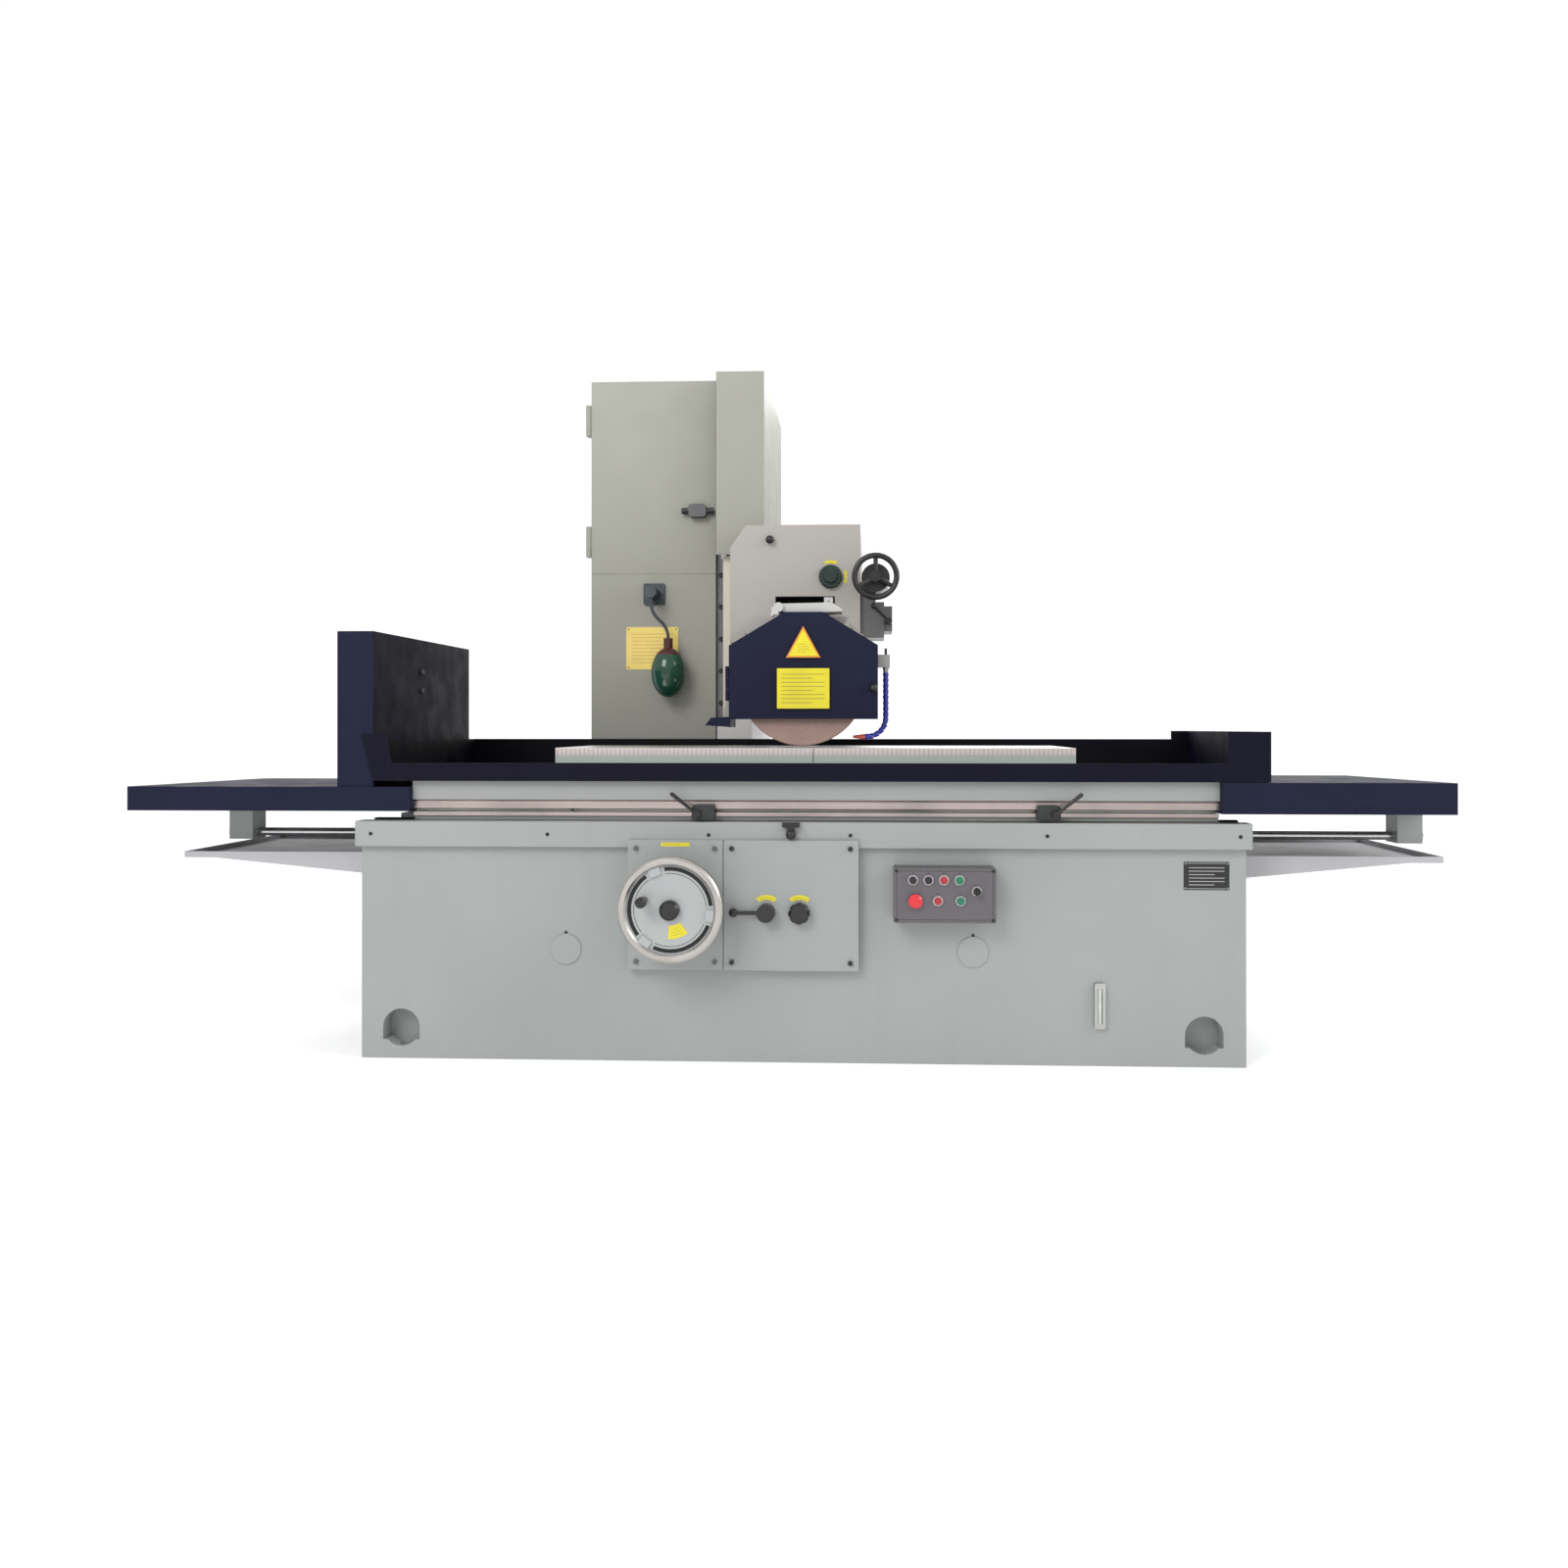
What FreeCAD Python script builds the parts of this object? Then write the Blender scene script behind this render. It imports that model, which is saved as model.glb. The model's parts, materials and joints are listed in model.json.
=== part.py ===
import FreeCAD, Part
import math
import os
import Sketcher

# A hydraulic surface grinder with two magnetic chucks on a long table.
# Frame: +X right along the table, +Y towards the back, +Z up.
# Origin: on the floor, at the centre of the four foundation bolts of the front bed.

document = FreeCAD.newDocument("surface_grinder")
sheet = document.addObject("Spreadsheet::Sheet", "sizes")
sub_parts = []


# ---------------------------------------------------------------- sizes that know their sheet cell

class Size:
    """A length or angle with its value and the sheet expression that gives it."""

    def __init__(self, value, text):
        self.value = value
        self.text = text

    def __add__(self, other):
        return combined(self, "+", other)

    def __radd__(self, other):
        return combined(other, "+", self)

    def __sub__(self, other):
        return combined(self, "-", other)

    def __rsub__(self, other):
        return combined(other, "-", self)

    def __mul__(self, other):
        return combined(self, "*", other)

    def __rmul__(self, other):
        return combined(other, "*", self)

    def __truediv__(self, other):
        return combined(self, "/", other)

    def __neg__(self):
        return combined(0, "-", self)


def as_size(item):
    """A plain number or a Size, as a Size."""
    if isinstance(item, Size):
        return item
    return Size(float(item), repr(float(item)))


def combined(left, sign, right):
    """The Size of two sizes joined by an arithmetic sign."""
    left = as_size(left)
    right = as_size(right)
    if sign == "+":
        value = left.value + right.value
    elif sign == "-":
        value = left.value - right.value
    elif sign == "*":
        value = left.value * right.value
    else:
        value = left.value / right.value
    return Size(value, f"({left.text} {sign} {right.text})")


def sine(angle):
    return Size(math.sin(math.radians(angle.value)), f"sin({angle.text} * 1deg)")


def cosine(angle):
    return Size(math.cos(math.radians(angle.value)), f"cos({angle.text} * 1deg)")


def driving(name, value):
    """A driving size: a cell of the sheet with the name as its alias."""
    driving.row += 1
    sheet.set(f"A{driving.row}", name)
    sheet.set(f"B{driving.row}", str(value))
    sheet.setAlias(f"B{driving.row}", name)
    return Size(float(value), f"sizes.{name}")


driving.row = 0


# ---------------------------------------------------------------- building blocks

AXIS_TURN = {
    "X": FreeCAD.Rotation(FreeCAD.Vector(0, 1, 0), 90),
    "Y": FreeCAD.Rotation(FreeCAD.Vector(1, 0, 0), -90),
    "Z": FreeCAD.Rotation(),
}
PROFILE_PLANE = {"X": "YZ_Plane", "Y": "XZ_Plane", "Z": "XY_Plane"}


def bind(item, **properties):
    """Ties each named property of an object to a size."""
    for name, amount in properties.items():
        amount = as_size(amount)
        setattr(item, name, amount.value)
        item.setExpression(name, amount.text)


def locate(item, x, y, z):
    """Ties an object's base point to three sizes."""
    place = [as_size(x), as_size(y), as_size(z)]
    item.Placement.Base = FreeCAD.Vector(*[amount.value for amount in place])
    for letter, amount in zip("xyz", place):
        item.setExpression(f"Placement.Base.{letter}", amount.text)


def along(axis, centre, distance):
    """The point at a distance along an axis; centre holds the two other places in X, Y, Z order."""
    point = list(centre)
    point.insert("XYZ".index(axis), distance)
    return point


def block(name, x, y, z):
    """A rectangular block between two planes on each axis, each pair (low, high)."""
    solid = document.addObject("Part::Box", name)
    bind(solid, Length=x[1] - x[0], Width=y[1] - y[0], Height=z[1] - z[0])
    locate(solid, x[0], y[0], z[0])
    return solid


def rod(name, axis, centre, radius, span):
    """A round bar along an axis, from span[0] to span[1]."""
    solid = document.addObject("Part::Cylinder", name)
    bind(solid, Radius=radius, Height=span[1] - span[0])
    solid.Placement.Rotation = AXIS_TURN[axis]
    locate(solid, *along(axis, centre, span[0]))
    return solid


def taper(name, axis, centre, radii, span):
    """A cone frustum along an axis, with its radius at each end of the span."""
    solid = document.addObject("Part::Cone", name)
    bind(solid, Radius1=radii[0], Radius2=radii[1], Height=span[1] - span[0])
    solid.Placement.Rotation = AXIS_TURN[axis]
    locate(solid, *along(axis, centre, span[0]))
    return solid


seam_turn = 45


def ball(name, x, y, z, radius):
    """A ball, turned so that its seam lies between the axes, clear of the bars that enter it."""
    solid = document.addObject("Part::Sphere", name)
    bind(solid, Radius=radius)
    solid.Placement.Rotation = FreeCAD.Rotation(FreeCAD.Vector(0, 0, 1), seam_turn)
    locate(solid, x, y, z)
    return solid


def fused(name, *solids):
    """The solids joined into one."""
    whole = document.addObject("Part::MultiFuse", name)
    whole.Shapes = list(solids)
    whole.Refine = True
    return whole


def cut(name, base, *tools):
    """The base with every tool taken away."""
    whole = document.addObject("Part::Cut", name)
    whole.Base = base
    whole.Tool = tools[0]
    if len(tools) > 1:
        whole.Tool = fused(name + "_tools", *tools)
    return whole


def group(name, *solids):
    """Separate solids that share one node."""
    whole = document.addObject("Part::Compound", name)
    whole.Links = list(solids)
    return whole


def tube(name, axis, centre, radii, span):
    """A round tube with an inner and an outer radius."""
    return cut(
        name,
        rod(name + "_outside", axis, centre, radii[1], span),
        rod(name + "_bore", axis, centre, radii[0], span),
    )


def outline_sketch(body, plane_role, points, name):
    """A closed sketch whose corners are tied to sizes, on one of the body's own planes."""
    sketch = body.newObject("Sketcher::SketchObject", name)
    plane = next(item for item in body.Origin.OriginFeatures if item.Role == plane_role)
    sketch.AttachmentSupport = (plane, "")
    sketch.MapMode = "FlatFace"
    corners = [(as_size(across), as_size(up)) for across, up in points]
    count = len(corners)
    for index in range(count):
        start = corners[index]
        end = corners[(index + 1) % count]
        sketch.addGeometry(
            Part.LineSegment(
                FreeCAD.Vector(start[0].value, start[1].value, 0),
                FreeCAD.Vector(end[0].value, end[1].value, 0),
            )
        )
    for index in range(count):
        following = (index + 1) % count
        sketch.addConstraint(Sketcher.Constraint("Coincident", index, 2, following, 1))
    for index, (across, up) in enumerate(corners):
        for direction, amount in (("DistanceX", across), ("DistanceY", up)):
            number = sketch.addConstraint(
                Sketcher.Constraint(direction, -1, 1, index, 1, amount.value)
            )
            sketch.setExpression(f"Constraints[{number}]", amount.text)
    return sketch


def prism(name, axis, points, span):
    """A straight bar along an axis with a polygon section, given across and up."""
    body = document.addObject("PartDesign::Body", name)
    sketch = outline_sketch(body, PROFILE_PLANE[axis], points, name + "_outline")
    pad = body.newObject("PartDesign::Pad", name + "_pad")
    pad.Profile = sketch
    pad.Reversed = axis == "Y"
    bind(pad, Length=span[1] - span[0])
    locate(body, *along(axis, (0, 0), span[0]))
    return body


def turned(name, axis, centre, points):
    """A piece turned about an axis, from a half outline of (radius, place along the axis)."""
    body = document.addObject("PartDesign::Body", name)
    sketch = outline_sketch(body, "XZ_Plane", points, name + "_outline")
    revolution = body.newObject("PartDesign::Revolution", name + "_turn")
    revolution.Profile = sketch
    revolution.ReferenceAxis = (sketch, ["V_Axis"])
    revolution.Angle = 360
    body.Placement.Rotation = AXIS_TURN[axis]
    locate(body, *along(axis, centre, 0))
    return body


def rounded(name, base, radius, chosen):
    """The base with a fillet on each straight edge that chosen(start, end) picks."""
    document.recompute()
    radius = as_size(radius)
    whole = document.addObject("Part::Fillet", name)
    whole.Base = base
    edges = []
    for number, edge in enumerate(base.Shape.Edges, start=1):
        if edge.Curve.TypeId == "Part::GeomLine" and chosen(edge.Vertexes[0].Point, edge.Vertexes[-1].Point):
            edges.append((number, radius.value, radius.value))
    whole.Edges = edges
    return whole


def runs_along(letter):
    """A test that picks the edges parallel to one axis."""
    others = [index for index in range(3) if index != "XYZ".index(letter)]

    def chosen(start, end):
        return all(abs(start[index] - end[index]) < 1e-6 for index in others)

    return chosen


def sub_part(label, solid):
    """Marks an object as a finished sub-part: its label names its file."""
    solid.Label = label
    sub_parts.append(solid)
    return solid


# ---------------------------------------------------------------- driving sizes (mm)

running_gap = driving("running_gap", 0.05)
seat_gap = driving("seat_gap", 0.5)
sheet_metal = driving("sheet_metal", 4)
plate_wall = driving("plate_wall", 12)

bed_length = driving("bed_length", 2612)
bed_depth = driving("bed_depth", 900)
bed_height = driving("bed_height", 703)
bed_wall = driving("bed_wall", 30)
flange_height = driving("flange_height", 74)
flange_lip_front = driving("flange_lip_front", 20)
flange_lip_end = driving("flange_lip_end", 12)
channel_front = driving("channel_front", 290)
channel_back = driving("channel_back", 110)
channel_depth = driving("channel_depth", 143)
vee_place = driving("vee_place", 350)
vee_half_width = driving("vee_half_width", 38)
flat_way_place = driving("flat_way_place", 340)
flat_way_width = driving("flat_way_width", 100)
flat_way_depth = driving("flat_way_depth", 20)

panel_left = driving("panel_left", 492)
panel_seam = driving("panel_seam", 214)
panel_right = driving("panel_right", 180)
panel_bottom = driving("panel_bottom", 274)
panel_height = driving("panel_height", 378)
panel_screw_inset = driving("panel_screw_inset", 24)
panel_screw_radius = driving("panel_screw_radius", 7)

pocket_inset = driving("pocket_inset", 131)
pocket_width = driving("pocket_width", 110)
pocket_depth = driving("pocket_depth", 62)
pocket_floor = driving("pocket_floor", 55)
pocket_straight = driving("pocket_straight", 36)
foundation_hole_radius = driving("foundation_hole_radius", 14)
foundation_bolt_inset = driving("foundation_bolt_inset", 32)

column_left = driving("column_left", 845)
column_right = driving("column_right", 371)
column_front = driving("column_front", 560)
column_depth = driving("column_depth", 750)
column_height = driving("column_height", 1589)
column_base_height = driving("column_base_height", 700)
column_base_margin = driving("column_base_margin", 62)
column_base_right = driving("column_base_right", 180)
door_height = driving("door_height", 729)
door_hinge_radius = driving("door_hinge_radius", 10)
door_hinge_length = driving("door_hinge_length", 90)

rail_neck_width = driving("rail_neck_width", 60)
rail_head_width = driving("rail_head_width", 90)
rail_neck_height = driving("rail_neck_height", 17)
rail_head_height = driving("rail_head_height", 18)
rail_inset = driving("rail_inset", 80)
rail_end_margin = driving("rail_end_margin", 25)
carriage_front = driving("carriage_front", 500)
carriage_right = driving("carriage_right", 229)
carriage_bottom = driving("carriage_bottom", 1012)
carriage_top = driving("carriage_top", 1618)

screw_radius = driving("screw_radius", 18)
screw_journal_radius = driving("screw_journal_radius", 12)
screw_inset = driving("screw_inset", 85)
screw_place = driving("screw_place", 935)
lug_thickness = driving("lug_thickness", 40)
lug_margin = driving("lug_margin", 30)

arm_left = driving("arm_left", 293)
arm_right = driving("arm_right", 176)
arm_front = driving("arm_front", 360)
arm_length = driving("arm_length", 840)
arm_bottom = driving("arm_bottom", 1285)
arm_height = driving("arm_height", 423)
arm_bevel_across = driving("arm_bevel_across", 56)
arm_bevel_down = driving("arm_bevel_down", 81)
dovetail_left = driving("dovetail_left", 195)
dovetail_right = driving("dovetail_right", 112)
dovetail_rise = driving("dovetail_rise", 57)
dovetail_spread = driving("dovetail_spread", 35)
slot_left = driving("slot_left", 129)
slot_right = driving("slot_right", 85)
slot_bottom = driving("slot_bottom", 1413)
slot_height = driving("slot_height", 37)
slot_depth = driving("slot_depth", 120)

chuck_length = driving("chuck_length", 800)
chuck_width = driving("chuck_width", 500)
chuck_base_height = driving("chuck_base_height", 71)
chuck_face_height = driving("chuck_face_height", 24)
chuck_split = driving("chuck_split", 2)
table_offset = driving("table_offset", 38)
table_length = driving("table_length", 2376)
table_width = driving("table_width", 816)
table_height = driving("table_height", 116)
table_gap = driving("table_gap", 2)
table_travel = driving("table_travel", 850)

wheel_radius = driving("wheel_radius", 200)
wheel_width = driving("wheel_width", 45)
wheel_bore_radius = driving("wheel_bore_radius", 63.5)
wheel_lift = driving("wheel_lift", 6)
wheel_front = driving("wheel_front", 185)
guard_left = driving("guard_left", 228)
guard_right = driving("guard_right", 237)
guard_front = driving("guard_front", 207)
guard_depth = driving("guard_depth", 150)
guard_bottom = driving("guard_bottom", 116)
guard_shoulder = driving("guard_shoulder", 113)
guard_top = driving("guard_top", 217)
guard_top_left = driving("guard_top_left", 54)
guard_top_right = driving("guard_top_right", 66)
head_length = driving("head_length", 1107)
head_half_width = driving("head_half_width", 188)
head_drop = driving("head_drop", 102)
head_chamfer = driving("head_chamfer", 60)
spindle_radius = driving("spindle_radius", 36)
rotor_radius = driving("rotor_radius", 50)
rotor_air_gap = driving("rotor_air_gap", 2)
stator_radius = driving("stator_radius", 84)

# ---------------------------------------------------------------- places worked out from them

bed_end = bed_length / 2
bed_front = -bed_depth / 2
flange_bottom = bed_height - flange_height
casting_front = bed_front + flange_lip_front
casting_end = bed_end - flange_lip_end
table_bottom = bed_height + table_gap
table_top = table_bottom + table_height
table_left = table_offset - table_length / 2
table_right = table_offset + table_length / 2
chuck_top = table_top + chuck_base_height + chuck_face_height
wheel_axis = chuck_top + wheel_lift + wheel_radius
column_top = column_base_height + column_height
column_back = column_front + column_depth
arm_top = arm_bottom + arm_height
rail_face = -column_right + rail_neck_height + rail_head_height
screw_across = -column_right + screw_inset


# ---------------------------------------------------------------- front bed

def foundation_pocket(side, face):
    """The arched niche over one foundation bolt, its stiffening box and the bolt hole."""
    middle = side * (bed_end - pocket_inset)
    outer = face * (-casting_front)
    reach = face * pocket_depth
    low = outer if face < 0 else outer - reach
    high = outer - reach if face < 0 else outer
    name = "pocket_%s_%s" % ("right" if side > 0 else "left", "back" if face > 0 else "front")
    spring_line = pocket_floor + pocket_straight
    half = pocket_width / 2
    shoulder = half + bed_wall / 2
    box_low = low if face < 0 else low - bed_wall / 2
    box_high = high + bed_wall / 2 if face < 0 else high
    box = block(
        name + "_box",
        (middle - shoulder, middle + shoulder),
        (box_low, box_high),
        (0, spring_line + shoulder),
    )
    niche = block(name + "_niche", (middle - half, middle + half), (low, high), (pocket_floor, spring_line))
    arch = rod(name + "_arch", "Y", (middle, spring_line), half, (low, high))
    bolt_place = outer - face * foundation_bolt_inset
    hole = rod(name + "_hole", "Z", (middle, bolt_place), foundation_hole_radius, (0, pocket_floor))
    return box, [niche, arch, hole]


def make_bed_casting():
    walls = block(
        "bed_walls",
        (-casting_end, casting_end),
        (casting_front, -casting_front),
        (0, flange_bottom),
    )
    flange = block("bed_flange", (-bed_end, bed_end), (bed_front, -bed_front), (flange_bottom, bed_height))
    pad = block(
        "bed_pad",
        (-panel_left, panel_right),
        (bed_front, casting_front),
        (panel_bottom, flange_bottom),
    )
    outside = fused("bed_outside", walls, flange, pad)
    hollow = block(
        "bed_hollow",
        (-casting_end + bed_wall, casting_end - bed_wall),
        (casting_front + bed_wall, -casting_front - bed_wall),
        (0, bed_height - channel_depth - bed_wall),
    )
    channel = block(
        "bed_channel",
        (-bed_end, bed_end),
        (-channel_front, -channel_back),
        (bed_height - channel_depth, bed_height),
    )
    vee = prism(
        "bed_vee",
        "X",
        [
            (-vee_place - vee_half_width, bed_height),
            (-vee_place, bed_height - vee_half_width),
            (-vee_place + vee_half_width, bed_height),
        ],
        (-bed_end, bed_end),
    )
    flat_way = block(
        "bed_flat_way",
        (-bed_end, bed_end),
        (flat_way_place - flat_way_width / 2, flat_way_place + flat_way_width / 2),
        (bed_height - flat_way_depth, bed_height),
    )
    shell = cut("bed_shell", outside, hollow, channel, vee, flat_way)
    boxes = []
    niches = []
    for side in (-1, 1):
        for face in (-1, 1):
            box, tools = foundation_pocket(side, face)
            boxes.append(box)
            niches.extend(tools)
    return sub_part("bed_casting", cut("bed", fused("bed_boxed", shell, *boxes), *niches))


def make_rear_bed():
    left = -column_left - column_base_margin
    right = -column_base_right
    back = column_back + column_base_margin
    lower = block("rear_lower", (left, right), (-casting_front, back), (0, flange_bottom))
    upper = block("rear_upper", (left, right), (-bed_front, back), (flange_bottom, column_base_height))
    hollow = block(
        "rear_hollow",
        (left + bed_wall, right - bed_wall),
        (-bed_front + bed_wall, back - bed_wall),
        (0, column_base_height - bed_wall),
    )
    return sub_part("rear_bed", cut("rear", fused("rear_outside", lower, upper), hollow))


rod_place = driving("rod_place", 200)
rod_height = driving("rod_height", 649)
rod_radius = driving("rod_radius", 13)
piston_radius = driving("piston_radius", 40)
piston_length = driving("piston_length", 40)
barrel_wall = driving("barrel_wall", 10)
head_thickness = driving("head_thickness", 20)
saddle_place = driving("saddle_place", 600)
saddle_width = driving("saddle_width", 80)
stroke_margin = driving("stroke_margin", 10)
bracket_place = driving("bracket_place", 1765)
bracket_thickness = driving("bracket_thickness", 75)
bracket_width = driving("bracket_width", 80)
bracket_drop = driving("bracket_drop", 20)
rod_nut_radius = driving("rod_nut_radius", 17)
rod_nut_length = driving("rod_nut_length", 14)

bore_end = table_travel + piston_length / 2 + stroke_margin
barrel_end = bore_end + head_thickness
rod_centre = (-rod_place, rod_height)


def make_hydraulic_cylinder():
    barrel = rod("barrel", "X", rod_centre, piston_radius + barrel_wall, (-barrel_end, barrel_end))
    saddles = [
        block(
            "barrel_saddle",
            (side * saddle_place - saddle_width / 2, side * saddle_place + saddle_width / 2),
            (-rod_place - piston_radius, -rod_place + piston_radius),
            (bed_height - channel_depth, rod_height),
        )
        for side in (-1, 1)
    ]
    bore = rod("barrel_bore", "X", rod_centre, piston_radius + running_gap, (-bore_end, bore_end))
    glands = rod("barrel_glands", "X", rod_centre, rod_radius + running_gap, (-barrel_end, barrel_end))
    return sub_part(
        "hydraulic_cylinder",
        cut("cylinder", fused("barrel_outside", barrel, *saddles), bore, glands),
    )


tray_length = driving("tray_length", 605)
tray_half_depth = driving("tray_half_depth", 300)
tray_floor = driving("tray_floor", 577)
tray_rim = driving("tray_rim", 19)
gusset_outer_inset = driving("gusset_outer_inset", 95)
gusset_drop = driving("gusset_drop", 51)


def make_oil_trays():
    trays = []
    for side in (-1, 1):
        inner = side * casting_end
        outer = side * (bed_end + tray_length)
        low = inner if side > 0 else outer
        high = outer if side > 0 else inner
        pan = block(
            "tray_pan",
            (low, high),
            (-tray_half_depth, tray_half_depth),
            (tray_floor, tray_floor + tray_rim),
        )
        inside = block(
            "tray_inside",
            (low + sheet_metal, high - sheet_metal),
            (sheet_metal - tray_half_depth, tray_half_depth - sheet_metal),
            (tray_floor + sheet_metal, tray_floor + tray_rim),
        )
        gusset_tip = outer - side * gusset_outer_inset
        gussets = [
            prism(
                "tray_gusset",
                "Y",
                [(inner, tray_floor), (inner, tray_floor - gusset_drop), (gusset_tip, tray_floor)],
                (
                    face * tray_half_depth - (sheet_metal if face > 0 else 0),
                    face * tray_half_depth + (sheet_metal if face < 0 else 0),
                ),
            )
            for face in (-1, 1)
        ]
        trays.append(fused("tray", cut("tray_shell", pan, inside), *gussets))
    return sub_part("oil_trays", group("trays", *trays))


# ---------------------------------------------------------------- bed front: panels, controls, fittings

panel_face = bed_front - plate_wall
panel_top = panel_bottom + panel_height
panel_gap = driving("panel_gap", 2)


def make_front_screws():
    """Cap screws at the four corners of each panel."""
    screws = []
    inset = panel_screw_inset
    for left, right in ((-panel_left, -panel_seam), (-panel_seam + panel_gap, panel_right)):
        for across in (left + inset, right - inset):
            for up in (panel_bottom + inset, panel_top - inset):
                span = (panel_face - panel_screw_radius, panel_face)
                screws.append(rod("panel_screw", "Y", (across, up), panel_screw_radius, span))
    return sub_part("front_screws", group("screws", *screws))


box_left = driving("box_left", 280)
box_width = driving("box_width", 291)
box_bottom = driving("box_bottom", 423)
box_height = driving("box_height", 156)
box_depth = driving("box_depth", 75)
button_radius = driving("button_radius", 11)
button_travel = driving("button_travel", 4)
button_reach = driving("button_reach", 9)
button_stem = driving("button_stem", 22)
stop_radius = driving("stop_radius", 20)
stop_travel = driving("stop_travel", 6)
bezel_rim = driving("bezel_rim", 5)
bezel_reach = driving("bezel_reach", 4)
upper_row = driving("upper_row", 122)
lower_row = driving("lower_row", 63)
selector_row = driving("selector_row", 91)
button_pitch = driving("button_pitch", 44)
first_button = driving("first_button", 55)
first_stop = driving("first_stop", 62)
lower_pitch = driving("lower_pitch", 64)
selector_place = driving("selector_place", 236)

box_face = casting_front - box_depth
stem_end = box_face + button_stem
PUSH_BUTTONS = {
    "left_start_button": (box_left + first_button, box_bottom + upper_row),
    "right_start_button": (box_left + first_button + button_pitch, box_bottom + upper_row),
    "upper_stop_button": (box_left + first_button + 2 * button_pitch, box_bottom + upper_row),
    "upper_run_button": (box_left + first_button + 3 * button_pitch, box_bottom + upper_row),
    "lower_stop_button": (box_left + first_stop + lower_pitch, box_bottom + lower_row),
    "lower_run_button": (box_left + first_stop + 2 * lower_pitch, box_bottom + lower_row),
}
emergency_centre = (box_left + first_stop, box_bottom + lower_row)
selector_centre = (box_left + selector_place, box_bottom + selector_row)


def make_button_box():
    """The control box with a bezel and a blind guide bore for each button."""
    case = block(
        "box_case",
        (box_left, box_left + box_width),
        (box_face, casting_front),
        (box_bottom, box_bottom + box_height),
    )
    softened = rounded("box_softened", case, bezel_rim, runs_along("Y"))
    bezels = []
    bores = []
    for centre in list(PUSH_BUTTONS.values()) + [selector_centre]:
        bezels.append(
            rod("bezel", "Y", centre, button_radius + bezel_rim, (box_face - bezel_reach, box_face)),
        )
    for centre in list(PUSH_BUTTONS.values()) + [selector_centre, emergency_centre]:
        span = (box_face - bezel_reach, stem_end + button_travel + stop_travel)
        bores.append(rod("button_bore", "Y", centre, button_radius + running_gap, span))
    return sub_part("button_box", cut("box", fused("box_bezelled", softened, *bezels), *bores))


def make_push_buttons():
    for label, centre in PUSH_BUTTONS.items():
        tip = box_face - button_reach
        shape = [
            (0, tip),
            (button_radius - 2, tip),
            (button_radius, tip + 2),
            (button_radius, stem_end),
            (0, stem_end),
        ]
        sub_part(label, turned(label + "_cap", "Y", centre, shape))


stop_cap_height = driving("stop_cap_height", 14)


def make_emergency_stop():
    """The mushroom-headed stop button."""
    base = box_face - stop_travel - seat_gap
    tip = base - stop_cap_height
    shape = [
        (0, tip),
        (stop_radius * 0.7, tip),
        (stop_radius, tip + stop_cap_height / 3),
        (stop_radius, base),
        (button_radius, base),
        (button_radius, stem_end),
        (0, stem_end),
    ]
    return sub_part("emergency_stop", turned("stop_cap", "Y", emergency_centre, shape))


def make_selector_switch():
    knob = rod("selector_knob", "Y", selector_centre, button_radius, (box_face - 2 * button_reach, stem_end))
    across, up = selector_centre
    wing = block(
        "selector_wing",
        (across - bezel_rim / 2, across + bezel_rim / 2),
        (box_face - 3 * button_reach, box_face - 2 * button_reach),
        (up - button_radius * 0.9, up + button_radius * 0.9),
    )
    return sub_part("selector_switch", fused("selector", knob, wing))


gauge_left = driving("gauge_left", 859)
gauge_width = driving("gauge_width", 32)
gauge_bottom = driving("gauge_bottom", 110)
gauge_height = driving("gauge_height", 132)
gauge_depth = driving("gauge_depth", 14)
gauge_window = driving("gauge_window", 7)


def make_oil_gauge():
    """An upright oil level gauge: a frame with a round sight tube in its slot."""
    face = casting_front - gauge_depth
    frame = block(
        "gauge_frame",
        (gauge_left, gauge_left + gauge_width),
        (face, casting_front),
        (gauge_bottom, gauge_bottom + gauge_height),
    )
    middle = gauge_left + gauge_width / 2
    end = gauge_width / 2
    slot = block(
        "gauge_slot",
        (middle - gauge_window, middle + gauge_window),
        (face, casting_front - sheet_metal / 2),
        (gauge_bottom + end, gauge_bottom + gauge_height - end),
    )
    sight = rod(
        "gauge_sight",
        "Z",
        (middle, face + gauge_window),
        gauge_window - seat_gap,
        (gauge_bottom + end, gauge_bottom + gauge_height - end),
    )
    softened = rounded("gauge_softened", frame, gauge_window, runs_along("Y"))
    return sub_part("oil_gauge", fused("gauge", cut("gauge_open", softened, slot), sight))


cover_radius = driving("cover_radius", 45)
cover_thickness = driving("cover_thickness", 3)
cover_height = driving("cover_height", 327)
left_cover_place = driving("left_cover_place", 682)
right_cover_place = driving("right_cover_place", 512)


def make_core_hole_covers():
    span = (casting_front - cover_thickness, casting_front)
    covers = [
        rod("core_cover", "Y", (place, cover_height), cover_radius, span)
        for place in (-left_cover_place, right_cover_place)
    ]
    return sub_part("core_hole_covers", group("core_covers", *covers))


handwheel_place = driving("handwheel_place", 348)
handwheel_height = driving("handwheel_height", 467)
handwheel_radius = driving("handwheel_radius", 149)
handwheel_rim = driving("handwheel_rim", 25)
handwheel_reach = driving("handwheel_reach", 130)
handwheel_depth = driving("handwheel_depth", 34)
dial_thickness = driving("dial_thickness", 10)
dial_inset = driving("dial_inset", 12)
hub_radius = driving("hub_radius", 28)
hub_length = driving("hub_length", 22)
handwheel_shaft_radius = driving("handwheel_shaft_radius", 16)
tab_width = driving("tab_width", 34)
tab_length = driving("tab_length", 22)
crank_place = driving("crank_place", 78)
crank_angle = driving("crank_angle", 160)
crank_pin_radius = driving("crank_pin_radius", 6)
crank_radius = driving("crank_radius", 15)
crank_length = driving("crank_length", 62)

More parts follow.
